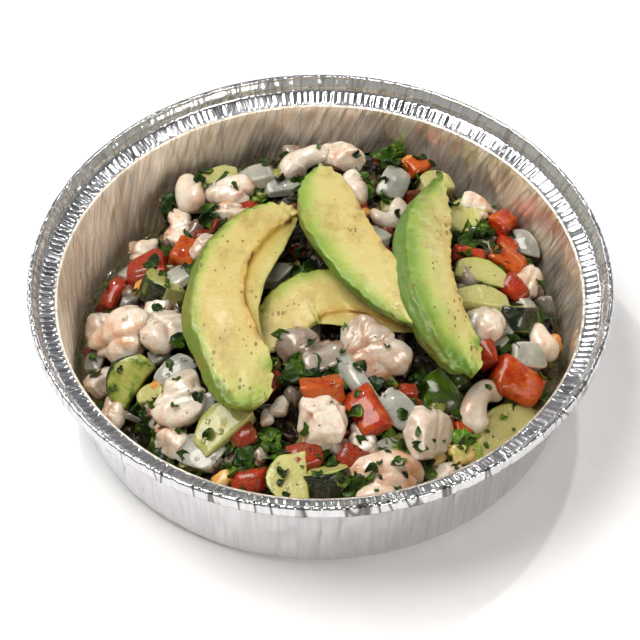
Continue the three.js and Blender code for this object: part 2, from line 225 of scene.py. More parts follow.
# %% [markdown]
# The light is soft daylight: a big window high at the left, and a weaker fill from the
# front right. Foil shows what stands round it, so two low strips behind are there for the
# rim's crimps to mirror, and the sky is bright near the horizon and darker overhead. Two
# small lamps behind give wet food its sharp glints. The camera looks down on the dish at
# nearly 49 degrees from well away, so that the round container has hardly any perspective.

# %% Camera, floor and lights
CAMERA_PLACE = Vector((0.0, -0.5901, 0.6959))
CAMERA_AIM = Vector((0.0, 0.00416, 0.020))
CAMERA_LENS = 160.2

camera_data = bpy.data.cameras.new("camera")
camera_data.lens = CAMERA_LENS
camera_data.sensor_width = 36.0
camera_data.clip_start = 0.01
camera = bpy.data.objects.new("camera", camera_data)
bpy.context.scene.collection.objects.link(camera)
camera.location = CAMERA_PLACE
camera.rotation_euler = (CAMERA_AIM - CAMERA_PLACE).to_track_quat("-Z", "Y").to_euler()
bpy.context.scene.camera = camera

FLOOR_HALF = 3.0
floor_mesh = bpy.data.meshes.new("floor")
floor_mesh.from_pydata(
    [(x * FLOOR_HALF, y * FLOOR_HALF, 0.0) for x, y in ((-1, -1), (1, -1), (1, 1), (-1, 1))],
    [], [(0, 1, 2, 3)],
)
floor = bpy.data.objects.new("floor", floor_mesh)
bpy.context.scene.collection.objects.link(floor)
floor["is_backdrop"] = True
floor_material, tree, shader, place = new_material("white_laminate")
grain = add(tree, NOISE, {"Vector": place, "Scale": 60.0, "Detail": 2.0})
tint = add(tree, RAMP, {"Fac": grain}, stops=[(0.3, "#f6f6f6"), (0.7, "#f9f9f9")])
set_shader(tree, shader, Base_Color=tint, Roughness=0.7, Specular_IOR_Level=0.2)
floor_mesh.materials.append(floor_material)


def area_light(name, place_m, aim, size, power, colour):
    data = bpy.data.lights.new(name, "AREA")
    data.shape = "RECTANGLE"
    data.size, data.size_y = size
    data.energy = power
    data.color = linear(colour)[:3]
    light = bpy.data.objects.new(name, data)
    bpy.context.scene.collection.objects.link(light)
    light.location = place_m
    light.rotation_euler = (Vector(aim) - Vector(place_m)).to_track_quat("-Z", "Y").to_euler()


# Name, place, height that it is aimed at, width and height, power in watts, colour.
LIGHTS = [
    ("window", (-0.60, -0.04, 1.36), 0.02, (0.85, 0.85), 20.0, "#fffdfa"),
    ("bounce", (0.80, -0.90, 0.66), 0.03, (0.6, 0.5), 8.2, "#fff7ee"),
    ("lamp_left", (-0.5, 0.55, 1.2), 0.02, (0.05, 0.05), 4.0, "#ffffff"),
    ("lamp_right", (0.35, 0.6, 1.2), 0.02, (0.05, 0.05), 3.5, "#ffffff"),
    ("strip_back", (0.52, 1.2, 0.15), 0.04, (0.5, 0.24), 2.0, "#ffffff"),
    ("strip_left", (-0.88, 0.85, 0.46), 0.04, (0.4, 0.26), 1.8, "#ffffff"),
]
for name, place_m, aim_height, size, power, colour in LIGHTS:
    area_light(name, place_m, (0, 0, aim_height), size, power, colour)

world = bpy.data.worlds.new("surround")
world.use_nodes = True
tree = world.node_tree
way = add(tree, "ShaderNodeTexCoord", output="Generated")
height = add(tree, SPLIT, {"Vector": way}, output="Z")
SKY_STOPS = [
    (0.0, "#c8c6c3"), (0.12, "#e8e8e8"), (0.35, "#dcdcdd"), (0.62, "#aeafb3"), (0.9, "#77797f"),
]
SKY_STRENGTH = 0.38
sky = add(tree, RAMP, {"Fac": height}, stops=SKY_STOPS)
tree.links.new(sky, tree.nodes["Background"].inputs["Color"])
tree.nodes["Background"].inputs["Strength"].default_value = SKY_STRENGTH
bpy.context.scene.world = world
bpy.context.scene.view_settings.view_transform = "Standard"
print("camera", tuple(round(v, 4) for v in camera.location), "lens", CAMERA_LENS)

# %% [markdown]
# The container is pressed from thin aluminium foil. The press gathers the foil into
# hundreds of small pleats, because a flat disc has too much edge for a bowl: they run up
# the wall, cross the shelf as short bright crimps, and turn under at the rolled hem. A
# texture could fake them, but pleats catch the light one by one, so they are real folds.
# The bare section is turned in code with how far each row may fold, and Geometry Nodes
# then fold it.

# %% The container's sizes in millimetres
SHEET = 0.5
BASE_RADIUS = 71.5
CORNER_RADIUS = 7.0
WALL_TOP = (81.3, 38.2)
FOLD = (86.9, 40.4)
SHELF_EDGE = (82.3, 38.75)
CREST = (89.2, 45.0)
FLANGE_SAG = (87.5, 42.75)
HEM_RADIUS = 90.5
HEM_FOOT = 40.4
HEM_TOP = 44.1
HEM_LIP = 0.7
PLEAT_RADIUS = 80.0
TURNS = 1560

rise = WALL_TOP[1] - SHEET - CORNER_RADIUS
run = WALL_TOP[0] + SHEET - BASE_RADIUS
WALL_ANGLE = math.atan2(rise, run) - math.acos(CORNER_RADIUS / math.hypot(run, rise))
WALL_TILT = math.tan(-WALL_ANGLE)


def corner(radius, angle):
    r = BASE_RADIUS + radius * math.cos(angle)
    return (r, CORNER_RADIUS + radius * math.sin(angle))


def inside_radius(height):
    """The radius of the wall's inner face at a height."""
    foot = corner(CORNER_RADIUS - SHEET, WALL_ANGLE)
    if height >= foot[1]:
        return foot[0] + (height - foot[1]) * WALL_TILT
    drop = min(CORNER_RADIUS - height, CORNER_RADIUS - SHEET)
    return BASE_RADIUS + math.sqrt((CORNER_RADIUS - SHEET) ** 2 - drop ** 2)


def stretch(start, end, parts):
    return [tuple(np.array(start) + (np.array(end) - start) * i / parts) for i in range(parts)]


def bend(radius, start, end, parts):
    return [corner(radius, start + (end - start) * i / parts) for i in range(parts)]


def curl(centre, radius, start, end, parts):
    turn = [math.radians(start + (end - start) * i / parts) for i in range(parts + 1)]
    return [(centre[0] + radius * math.cos(a), centre[1] + radius * math.sin(a)) for a in turn]


UNDER_SHELF = (WALL_TOP[0] + SHEET, WALL_TOP[1] - SHEET)
hem_centre = (HEM_RADIUS - 1.0, HEM_TOP - 0.1)
SECTION = (
    [(0.0, 0.0), (50.0, 0.0), (67.0, 0.0)]
    + bend(CORNER_RADIUS, -math.pi / 2, WALL_ANGLE, 5)
    + stretch(corner(CORNER_RADIUS, WALL_ANGLE), UNDER_SHELF, 8)
    + stretch(UNDER_SHELF, (HEM_RADIUS - HEM_LIP, HEM_FOOT), 2)
    + stretch((HEM_RADIUS - HEM_LIP, HEM_FOOT), (HEM_RADIUS, HEM_FOOT + HEM_LIP), 1)
    + stretch((HEM_RADIUS, HEM_FOOT + HEM_LIP), (HEM_RADIUS, HEM_TOP - 0.1), 5)
    + curl(hem_centre, 1.0, 0, 150, 6)
    + stretch((CREST[0] - 0.55, CREST[1] - 0.6), FLANGE_SAG, 3)
    + stretch(FLANGE_SAG, FOLD, 3)
    + stretch(FOLD, SHELF_EDGE, 6)
    + [SHELF_EDGE, (81.9, 38.75), (81.45, 38.55)]
    + stretch(WALL_TOP, corner(CORNER_RADIUS - SHEET, WALL_ANGLE), 12)
    + bend(CORNER_RADIUS - SHEET, WALL_ANGLE, -math.pi / 2, 4)
    + [(BASE_RADIUS, SHEET), (66.0, SHEET), (0.0, SHEET)]
)

# %% Turn the section, with how far each row may fold
section = np.array(SECTION)
rows = len(section)
angles = np.arange(TURNS) * 2 * np.pi / TURNS
ring = section[1:-1]
points = np.concatenate([
    [[0, 0, section[0][1]]],
    np.stack([
        np.outer(ring[:, 0], np.cos(angles)),
        np.outer(ring[:, 0], np.sin(angles)),
        np.repeat(ring[:, 1][:, None], TURNS, axis=1),
    ], axis=2).reshape(-1, 3),
    [[0, 0, section[-1][1]]],
])
faces = []
for row in range(len(ring) - 1):
    for i in range(TURNS):
        a, b = 1 + row * TURNS + i, 1 + row * TURNS + (i + 1) % TURNS
        faces.append((a, b, b + TURNS, a + TURNS))
last = len(points) - 1
first_of_last = 1 + (len(ring) - 1) * TURNS
for i in range(TURNS):
    j = (i + 1) % TURNS
    faces.append((0, 1 + j, 1 + i))
    faces.append((last, first_of_last + i, first_of_last + j))

r, z = section[:, 0], section[:, 1]
low_wall = 0.4 + 0.6 * smooth_step(8.0, 14.0, z)
on_wall = smooth_step(1.0, 6.0, z) * low_wall * (1 - smooth_step(33.0, 38.0, z)) * (r < 82.5)
on_base = smooth_step(56.0, 70.0, r) * (z < 3.0) * (1 - on_wall)
on_shelf = smooth_step(82.2, 83.4, r) * (1 - smooth_step(85.6, 86.9, r)) * (z > 37)
on_flange = (r > 86.8) * (r < 89.3) * smooth_step(40.3, 41.5, z)
on_hem = (r > 89.25) * (z > 39)
is_inner = (np.arange(rows) > np.argmax(z)) * (r < 82.0)


def per_point(row_values):
    inner = np.repeat(row_values[1:-1], TURNS)
    return np.concatenate([[row_values[0]], inner, [row_values[-1]]])


foil = make_object("foil_container", points, faces, {
    "wall": per_point(on_wall), "base": per_point(on_base), "shelf": per_point(on_shelf),
    "flange": per_point(on_flange * 1.0), "hem": per_point(on_hem * 1.0),
    "inner": per_point(is_inner * 1.0),
})
print("section rows:", rows, "turns:", TURNS, "fold points:", len(points))

# %% [markdown]
# The fold pattern is noise read on a cylinder: each point asks for the value at its own
# bearing on a circle of one radius, and only a little of its height goes in. So a pleat
# keeps its place all the way up, and wanders and forks a little as real ones do. A crease
# runs where the noise crosses its middle value. Narrow creases, wide ones and a slow swell
# are added up.

# %% Geometry Nodes: pleats in foil
pleats = bpy.data.node_groups.new("foil_pleats", "GeometryNodeTree")
face = pleats.interface
face.new_socket("Geometry", in_out="INPUT", socket_type="NodeSocketGeometry")
face.new_socket("Geometry", in_out="OUTPUT", socket_type="NodeSocketGeometry")
FOLD_INPUTS = {
    "Wall depth": 0.0006, "Wall pitch": 0.0044, "Crimp depth": 0.00036,
    "Hem depth": 0.0003, "Hem pitch": 0.0024,
}
CRIMPS_AROUND = 236
for key in FOLD_INPUTS:
    face.new_socket(key, in_out="INPUT", socket_type="NodeSocketFloat")
face.new_socket("Material", in_out="INPUT", socket_type="NodeSocketMaterial")
tree = pleats
given = add(tree, "NodeGroupInput", output=None).outputs


def around_circle(tree, here):
    """The outward way at a point, and the point's bearing on the circle of the pleats."""
    flat = add(tree, VECTOR, (here, (1.0, 1.0, 0.0)), operation="MULTIPLY")
    outward = add(tree, VECTOR, (flat,), operation="NORMALIZE")
    to_circle = {"Vector": outward, "Scale": PLEAT_RADIUS * MM}
    return outward, add(tree, VECTOR, to_circle, operation="SCALE")


def climbing(tree, here, on_circle, share, lean=0.0):
    """The place on the circle, lifted by a share of the point's height.

    lean turns the place with height, in radians a metre, so that folds run up at a slant.
    """
    up = add(tree, SPLIT, {"Vector": here}, output="Z")
    turned = add(tree, "ShaderNodeVectorRotate", {
        "Vector": on_circle, "Angle": add(tree, MATH, (up, lean), operation="MULTIPLY"),
    }, rotation_type="Z_AXIS")
    lift = add(tree, JOIN, {"Z": add(tree, MATH, (up, share), operation="MULTIPLY")})
    return add(tree, VECTOR, (turned, lift), operation="ADD")


def crease(tree, vector, pitch, width):
    """1 in the middle of a narrow crease and 0 beside it, where noise crosses its middle value."""
    tight = add(tree, MATH, (1.0, pitch), operation="DIVIDE")
    value = add(tree, NOISE, {"Vector": vector, "Scale": tight, "Detail": 0.5})
    centred = add(tree, MATH, (value, 0.5), operation="SUBTRACT")
    off_line = {"Value": add(tree, MATH, (centred,), operation="ABSOLUTE"), "From Min": 0.0,
                "From Max": width, "To Min": 1.0, "To Max": 0.0}
    return add(tree, RANGE, off_line, interpolation_type="SMOOTHSTEP", output="Result")


def times(tree, *values):
    """The product of several values."""
    product = values[0]
    for value in values[1:]:
        product = add(tree, MATH, (product, value), operation="MULTIPLY")
    return product


here = add(tree, "GeometryNodeInputPosition")
outward, on_circle = around_circle(tree, here)
BANDS = ("wall", "base", "shelf", "flange", "hem")
share = {key: add(tree, FIELD, {"Name": key}) for key in BANDS}

narrow_fold = crease(tree, climbing(tree, here, on_circle, 0.2), given["Wall pitch"], 0.13)
wide_pitch = add(tree, MATH, (given["Wall pitch"], 2.6), operation="MULTIPLY")
wide_fold = crease(tree, climbing(tree, here, on_circle, 0.4), wide_pitch, 0.06)
swell_place = climbing(tree, here, on_circle, 0.2)
swell = add(tree, NOISE, {"Vector": swell_place, "Scale": 1 / 0.004, "Detail": 1.0})
both = add(tree, MATH, (narrow_fold, 0.22, wide_fold), operation="MULTIPLY_ADD")
slow_swell = add(tree, MATH, (swell, 0.9), operation="MULTIPLY")
pulled = add(tree, MATH, (slow_swell, both), operation="SUBTRACT")
centred = add(tree, MATH, (pulled, 0.2), operation="SUBTRACT")
wall_push = times(tree, centred, given["Wall depth"], share["wall"])
base_rise = times(tree, both, given["Wall depth"], share["base"], 0.35)

# The crimps of the shelf: a wave with a fixed number of crests around, pushed out of step
# by noise, and deeper in some groups than in others.
parts = add(tree, SPLIT, {"Vector": here}, output=None).outputs
bearing = add(tree, MATH, (parts["Y"], parts["X"]), operation="ARCTAN2")
stray = add(tree, NOISE, {"Vector": on_circle, "Scale": 1 / 0.011, "Detail": 1.0})
step_out = add(tree, MATH, (stray, 9.0), operation="MULTIPLY")
phase = add(tree, MATH, (bearing, float(CRIMPS_AROUND), step_out), operation="MULTIPLY_ADD")
crimp_wave = add(tree, MATH, (phase,), operation="SINE")
group = add(tree, NOISE, {"Vector": on_circle, "Scale": 1 / 0.017, "Detail": 1.0})
group_edge = {"Value": group, "From Min": 0.42, "From Max": 0.54, "To Min": 0.08, "To Max": 1.0}
in_groups = add(tree, RANGE, group_edge, interpolation_type="SMOOTHSTEP", output="Result")
# Towards the back and the right the crimps fade out between their groups.
back_right = add(tree, MATH, (parts["X"], 0.35, parts["Y"]), operation="MULTIPLY_ADD")
even = add(tree, RANGE, {"Value": back_right, "From Min": 0.015, "From Max": 0.05,
                         "To Min": 0.8, "To Max": 0.35}, output="Result")
gathered = add(tree, MATH, (in_groups, even), operation="MAXIMUM")
single = add(tree, NOISE, {"Vector": on_circle, "Scale": 1 / 0.0024, "Detail": 0.0})
uneven = add(tree, RANGE, {"Value": single, "From Min": 0.3, "From Max": 0.65, "To Min": 0.35,
                           "To Max": 1.2}, output="Result")
crimped = times(tree, crimp_wave, gathered, uneven)
shelf_line = crease(tree, on_circle, given["Wall pitch"], 0.10)
dented = add(tree, MATH, (shelf_line, 0.5, crimped), operation="MULTIPLY_ADD")
sink = times(tree, dented, given["Crimp depth"], share["shelf"])

hem_fold = crease(tree, climbing(tree, here, on_circle, 0.15), given["Hem pitch"], 0.16)
hem_push = times(tree, hem_fold, given["Hem depth"], share["hem"], in_groups, -0.7)
flange_pitch = add(tree, MATH, (given["Hem pitch"], 1.3), operation="MULTIPLY")
flange_fold = crease(tree, climbing(tree, here, on_circle, 0.5), flange_pitch, 0.08)
flange_push = times(tree, flange_fold, given["Hem depth"], share["flange"], 0.7)

edge_push = add(tree, MATH, (hem_push, flange_push), operation="ADD")
out_push = add(tree, MATH, (wall_push, edge_push), operation="ADD")
# The rim's own ticks are pressed in most deeply on the side that faces the eater.
to_front = add(tree, RANGE, {"Value": parts["Y"], "From Min": 0.02, "From Max": -0.04,
                             "To Min": 0.05, "To Max": 0.4}, output="Result")
ticks = times(tree, crimp_wave, uneven, share["hem"], given["Crimp depth"], to_front)
flat_push = add(tree, MATH, (base_rise, sink), operation="SUBTRACT")
up_push = add(tree, MATH, (flat_push, ticks), operation="ADD")
sideways = add(tree, VECTOR, {"Vector": outward, "Scale": out_push}, operation="SCALE")
shift = add(tree, VECTOR, (sideways, add(tree, JOIN, {"Z": up_push})), operation="ADD")
folded = add(tree, "GeometryNodeSetPosition", {"Geometry": given["Geometry"], "Offset": shift})
covered = add(tree, "GeometryNodeSetMaterial", {
    "Geometry": folded, "Material": given["Material"],
})
solid = add(tree, "GeometryNodeRealizeInstances", {"Geometry": covered})
add(tree, "NodeGroupOutput", {"Geometry": solid}, output=None)


def run_nodes(holder, group, inputs):
    """Runs a Geometry Nodes group on an object and leaves its plain mesh in the object."""
    modifier = holder.modifiers.new(group.name, "NODES")
    sockets = {item.name: item.identifier for item in group.interface.items_tree
               if item.in_out == "INPUT"}
    modifier.node_group = group
    for key, value in inputs.items():
        modifier[sockets[key]] = value
    seen = holder.evaluated_get(bpy.context.evaluated_depsgraph_get())
    mesh = bpy.data.meshes.new_from_object(seen)
    holder.modifiers.remove(modifier)
    holder.data = mesh
    mesh.name = holder.name
    return mesh


# %% [markdown]
# Bright foil is bare rolled aluminium: a true mirror for colour, but crossed by rolling
# lines and fine wrinkles, so a reflection is drawn out into streaks. The wrinkles finer
# than a pleat are bump, 1.3 and 4 mm wide, read on the same cylinder. Inside, a film of
# juice and fat makes the metal paler and duller; its warm colour is partly a painted
# reflection of the salad, and the film is thicker at the left as painted light on that
# wall. Sharp creases show as dark lines of painted shadow.

# %% Material: rolled aluminium foil
foil_material, tree, shader, place = new_material("aluminium_foil_rolled")
outward, on_circle = around_circle(tree, place)
matt_side = add(tree, ATTRIBUTE, attribute_name="inner", output="Fac")
streak_lean = add(tree, MATH, (matt_side, 5.0), operation="MULTIPLY")
streak_place = climbing(tree, place, on_circle, 0.06, streak_lean)
streaks = add(tree, NOISE, {"Vector": streak_place, "Scale": 1 / 0.0013, "Detail": 1.5})
slant_place = climbing(tree, place, on_circle, 0.12, streak_lean)
slanted = add(tree, NOISE, {"Vector": slant_place, "Scale": 1 / 0.0040, "Detail": 1.0})
dents = add(tree, NOISE, {"Vector": place, "Scale": 1 / 0.009, "Detail": 1.0})
to_back = add(tree, SPLIT, {"Vector": place}, output="Y")
hem_weight = add(tree, RANGE, {"Value": to_back, "From Min": -0.04, "From Max": 0.02,
                               "To Min": 2.2, "To Max": 0.7}, output="Result")
on_rim = 0.0
for key, weight in (("flange", 0.9), ("shelf", 1.0), ("hem", hem_weight)):
    on_band = add(tree, ATTRIBUTE, attribute_name=key, output="Fac")
    on_rim = add(tree, MATH, (on_band, weight, on_rim), operation="MULTIPLY_ADD")
bare = add(tree, RAMP, {"Fac": streaks}, stops=[(0.35, "#cbcbcd"), (0.65, "#d8d8d9")])
# The inner side's warm colour is partly a painted reflection of the salad.
film_and_painted_warmth = add(tree, RAMP, {"Fac": streaks}, stops=[(0.36, "#ecd9bf"), (0.6, "#fff4e6")])
tone = add(tree, MIX, {"Factor_Float": matt_side, "A_Color": bare, "B_Color": film_and_painted_warmth},
           data_type="RGBA", output="Result_Color")
gloss_range = {"Value": dents, "From Min": 0.3, "From Max": 0.7, "To Min": 0.17, "To Max": 0.26}
bright_side = add(tree, RANGE, gloss_range, output="Result")
gloss = add(tree, MATH, (matt_side, 0.10, bright_side), operation="MULTIPLY_ADD")
uneven_side = add(tree, MATH, (on_rim, 0.4, matt_side), operation="MULTIPLY_ADD")
streak_depth = add(tree, MATH, (uneven_side, 0.8, 0.05), operation="MULTIPLY_ADD")
wrinkle = add(tree, BUMP, {"Height": streaks, "Strength": streak_depth, "Distance": 0.0005})
crossed = add(tree, BUMP, {
    "Height": slanted, "Normal": wrinkle, "Strength": streak_depth, "Distance": 0.0018,
})
rough = add(tree, BUMP, {
    "Height": dents, "Normal": crossed, "Strength": 0.25, "Distance": 0.0012,
})
# The film of juice and fat on the matt side takes a part of the light and scatters it.
# It is laid on thicker towards the left: painted light that makes the left wall paler.
across = add(tree, SPLIT, {"Vector": place}, output="X")
painted_light_left = add(tree, RANGE, {"Value": across, "From Min": -0.08, "From Max": 0.03, "To Min": 1.0,
                             "To Max": 0.32}, output="Result")
smear_place = climbing(tree, place, on_circle, 0.5, 5.0)
smear = add(tree, NOISE, {"Vector": smear_place, "Scale": 1 / 0.012, "Detail": 2.0})
smeared = add(tree, RANGE, {"Value": smear, "From Min": 0.35, "From Max": 0.65, "To Min": 0.6,
                            "To Max": 1.2}, output="Result")
film_and_painted_light = times(tree, painted_light_left, smeared, matt_side)
# The inward slope of the rim is dulled by handling, so it takes light from the window too.
on_flange = add(tree, ATTRIBUTE, attribute_name="flange", output="Fac")
dulled = add(tree, MATH, (on_flange, 0.27, film_and_painted_light), operation="MULTIPLY_ADD")
bare_share = add(tree, MATH, (1.0, dulled), operation="SUBTRACT", use_clamp=True)
# A sharp crease holds its own shadow as a thin dark line: many on the rim, few on the walls.
sharp_line = crease(tree, climbing(tree, place, on_circle, 0.15, 1.5), 0.0045, 0.045)
few_lines = add(tree, MATH, (matt_side, 0.2, 0.05), operation="MULTIPLY_ADD")
line_share = add(tree, MATH, (on_rim, 0.38, few_lines), operation="MULTIPLY_ADD")
lined = add(tree, MIX, {"Factor_Float": times(tree, sharp_line, line_share), "A_Color": tone,
                        "B_Color": linear("#46423e")}, data_type="RGBA", output="Result_Color")
set_shader(tree, shader, Base_Color=lined, Metallic=bare_share, Roughness=gloss, Normal=rough)

run_nodes(foil, pleats, {**FOLD_INPUTS, "Material": foil_material})
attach(foil, "root")
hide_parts("foil_tray")
print("foil triangles:", sum(len(p.vertices) - 2 for p in foil.data.polygons))

# %% [markdown]
# The salad is a heap that leans on the wall at the back and slopes down to the left and
# the front. Its form is one rule: the height of its edge at each bearing, and how far the
# edge leans out over the juice. The same rule serves the dark, wet core here and the
# pieces that are laid on it later.

# %% The heap's form
SALAD_RADIUS = 69.0
SALAD_MIDDLE_HEIGHT = 30.0
SALAD_CROWN_POWER = 2.3
JUICE_LEVEL = 7.0
SALAD_EDGE = np.array([
    (0, 15, 6), (20, 17, 6), (45, 20, 5), (70, 28, 6), (92, 27, 5), (125, 24, 4),
    (150, 12, 0), (180, 8.5, 0), (205, 8.5, 0), (225, 9, 0), (250, 13, 3), (270, 16, 4),
    (290, 14, 3), (312, 9, 0), (330, 8.5, 0), (345, 10, 3), (360, 15, 6),
])


def edge_value(bearing, column):
    turn = np.mod(bearing, 360.0)
    after = np.clip(np.searchsorted(SALAD_EDGE[:, 0], turn, side="left"), 1, len(SALAD_EDGE) - 1)
    before = after - 1
    part = smooth_step(SALAD_EDGE[before, 0], SALAD_EDGE[after, 0], turn)
    return SALAD_EDGE[before, column] * (1 - part) + SALAD_EDGE[after, column] * part


def salad_height(x, y):
    bearing = np.degrees(np.arctan2(y, x))
    edge = edge_value(bearing, 1)
    out = np.minimum(np.hypot(x, y) / (SALAD_RADIUS + edge_value(bearing, 2)), 1)
    return edge + (SALAD_MIDDLE_HEIGHT - edge) * (1 - out ** SALAD_CROWN_POWER)


# %% [markdown]
# Between the pieces one sees a few millimetres down, into shadow, juice and chopped herbs.
# A core just under the heap's surface gives that: lumpy and wet, with its dark colour
# painted shade. It is a polar grid whose rows run from the middle out to the edge and
# then down to the base.

# %% The core of the heap
CORE_SIDES = 220
CORE_RINGS = 62
CORE_SINK = 1.9
CORE_FOOT = 0.45
CORE_SIDE_ROWS = (
    (0.75, SALAD_RADIUS + 0.5), (0.5, SALAD_RADIUS), (0.25, SALAD_RADIUS - 1),
    (0.0, SALAD_RADIUS - 2),
)
bearing = np.arange(CORE_SIDES) * 360.0 / CORE_SIDES
turn = np.radians(bearing)
core_rows = []
for i in range(1, CORE_RINGS + 1):
    out = (i / CORE_RINGS) ** 0.8
    reach = out * (SALAD_RADIUS + edge_value(bearing, 2) - 1.0)
    x, y = reach * np.cos(turn), reach * np.sin(turn)
    core_rows.append(np.stack([x, y, salad_height(x, y) - CORE_SINK], axis=1))
edge_height = core_rows[-1][:, 2]
for share, radius in CORE_SIDE_ROWS:
    x, y = radius * np.cos(turn), radius * np.sin(turn)
    core_rows.append(np.stack([x, y, CORE_FOOT + (edge_height - CORE_FOOT) * share], axis=1))
crown = [[0, 0, SALAD_MIDDLE_HEIGHT - CORE_SINK]]
core_points = np.concatenate([crown, *core_rows, [[0, 0, CORE_FOOT]]])
top = core_points[:, 2] > 2.0
lumps = wobble(core_points, 9.0, 3) * 1.3 + np.abs(wobble(core_points, 4.5, 4)) * 1.6
core_points[:, 2] += np.where(top, lumps - 0.6, 0)
core_faces = [(0, 1 + i, 1 + (i + 1) % CORE_SIDES) for i in range(CORE_SIDES)]
total_rows = len(core_rows)
for row in range(total_rows - 1):
    for i in range(CORE_SIDES):
        a, b = 1 + row * CORE_SIDES + i, 1 + row * CORE_SIDES + (i + 1) % CORE_SIDES
        core_faces.append((a, a + CORE_SIDES, b + CORE_SIDES, b))
foot = 1 + (total_rows - 1) * CORE_SIDES
pole = len(core_points) - 1
core_faces += [(pole, foot + (i + 1) % CORE_SIDES, foot + i) for i in range(CORE_SIDES)]
core = make_object("salad_core", core_points, core_faces, {
    "top": (np.arange(len(core_points)) <= CORE_RINGS * CORE_SIDES) * 1.0,
})
print("core faces:", len(core_faces))

# %% Material: chopped herbs and juice between the pieces
material, tree, shader, place = new_material("salad_mush_wet")
bend_way = add(tree, NOISE, {"Vector": place, "Scale": 1 / 0.004, "Detail": 2.0}, output="Color")
bent = add(tree, VECTOR, {"Vector": bend_way, "Scale": 0.003}, operation="SCALE")
bits_place = add(tree, VECTOR, (place, bent), operation="ADD")
bits = {"Vector": bits_place, "Scale": 1 / 0.0042}
bit_kind = add(tree, SPLIT, {"Vector": add(tree, CELLS, bits, output="Color")}, output="X")
# The bits' colours are kept dark: painted shade between the pieces.
SHADED_BIT_STOPS = [
    (0.0, "#0b1105"), (0.22, "#1b220c"), (0.36, "#40331a"), (0.5, "#6b5438"),
    (0.64, "#5d4427"), (0.76, "#3b4015"), (0.88, "#5a2414"), (1.0, "#2c150b"),
]
bit_tone = add(tree, RAMP, {"Fac": bit_kind}, stops=SHADED_BIT_STOPS)
edge = add(tree, CELLS, bits, feature="DISTANCE_TO_EDGE", output="Distance")
gap = add(tree, RANGE, {"Value": edge, "From Min": 0.0, "From Max": 0.25}, output="Result")
# Painted shadow: the edges between the bits go nearly black.
mush = add(tree, MIX, {"Factor_Float": gap, "A_Color": linear("#15100a"), "B_Color": bit_tone},
           data_type="RGBA", output="Result_Color")
fine = add(tree, NOISE, {"Vector": place, "Scale": 1 / 0.0012, "Detail": 3.0})
bulge = add(tree, MATH, (fine, 0.4, gap), operation="MULTIPLY_ADD")
relief = add(tree, BUMP, {"Height": bulge, "Strength": 0.8, "Distance": 0.0016})
set_shader(
    tree, shader, Base_Color=mush, Roughness=0.3, IOR=1.36, Normal=relief,
    Specular_IOR_Level=0.3, Coat_Weight=0.35, Coat_Roughness=0.06, Coat_IOR=1.34,
)
core.data.materials.append(material)
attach(core, "root")
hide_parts("ceviche_salad")

# %% [markdown]
# Lime juice lies in the gap between the heap and the wall, a few millimetres deep. It is
# nearly clear, so what one sees is the foil through it, a rim where it climbs the wall, and
# the broken mirror of its surface. It reaches a little into the foil, so no air shows.

# %% The lime juice
JUICE_SIDES = 256
JUICE_FOOT = 0.3
juice_turn = np.arange(JUICE_SIDES) * 2 * np.pi / JUICE_SIDES
wall_here = inside_radius(JUICE_LEVEL)
juice_section = [
    (60.0, JUICE_FOOT), (71.0, JUICE_FOOT), (75.8, 1.9), (wall_here - 0.2, 5.6),
    (wall_here + 0.12, JUICE_LEVEL + 0.5), (wall_here - 0.5, JUICE_LEVEL + 0.1),
    (wall_here - 1.4, JUICE_LEVEL), (74.0, JUICE_LEVEL), (71.5, JUICE_LEVEL),
    (69.0, JUICE_LEVEL), (66.0, JUICE_LEVEL), (60.0, JUICE_LEVEL),
]
juice_points, juice_faces = [], []
for radius, height in juice_section:
    ring = np.stack([radius * np.cos(juice_turn), radius * np.sin(juice_turn),
                     np.full(JUICE_SIDES, height)], axis=1)
    if height > JUICE_LEVEL - 0.2:
        ring[:, 2] += 0.22 * wobble(ring, 7.0, 5) * min(1.0, (wall_here + 0.5 - radius) / 3)
    juice_points.append(ring)
around = len(juice_section)
for row in range(around):
    for i in range(JUICE_SIDES):
        a, b = row * JUICE_SIDES + i, row * JUICE_SIDES + (i + 1) % JUICE_SIDES
        c = (row + 1) % around * JUICE_SIDES
        juice_faces.append((a, b, c + (i + 1) % JUICE_SIDES, c + i))
juice = make_object("lime_juice_pool", np.concatenate(juice_points), juice_faces)
material, tree, shader, place = new_material("lime_juice_clear")
cloud = add(tree, NOISE, {"Vector": place, "Scale": 1 / 0.02, "Detail": 2.0})
tint = add(tree, RAMP, {"Fac": cloud}, stops=[(0.35, "#d9cfa6"), (0.65, "#c8c28c")])
ripple = add(tree, NOISE, {"Vector": place, "Scale": 1 / 0.005, "Detail": 2.0})
surface = add(tree, BUMP, {"Height": ripple, "Strength": 0.3, "Distance": 0.0006})
set_shader(
    tree, shader, Base_Color=tint, Roughness=0.03, IOR=1.34, Transmission_Weight=0.85,
    Normal=surface,
)
juice.data.materials.append(material)
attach(juice, "root")
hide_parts("lime_juice")

# %% [markdown]
# The pieces of the salad lie where the heap's slope lets them. Each is made lying flat at
# the origin, tipped and turned, tilted to the slope, and set down on the heap's surface.

# %% Laying a piece on the heap
def lay(points, x, y, height, turn, tip=0.0, lean=(0.0, 0.0)):
    """Tips, turns and tilts a piece to the heap's slope, and sets its middle at x, y, height."""
    step = 1.0
    slope_x = (salad_height(x + step, y) - salad_height(x - step, y)) / (2 * step)
    slope_y = (salad_height(x, y + step) - salad_height(x, y - step)) / (2 * step)
    up = Vector((-slope_x + lean[0], -slope_y + lean[1], 1.0)).normalized()
    settle = Vector((0, 0, 1)).rotation_difference(up).to_matrix()
    spin = Matrix.Rotation(math.radians(turn), 3, "Z")
    roll = Matrix.Rotation(math.radians(tip), 3, "X")
    return points @ np.array(settle @ spin @ roll).T + np.array([x, y, height])


WALL_HEIGHTS = np.linspace(0.6, 38.0, 160)
WALL_RADII = np.array([inside_radius(height) for height in WALL_HEIGHTS])
WALL_CLEAR = 0.75
WALL_SQUASH = 1.6


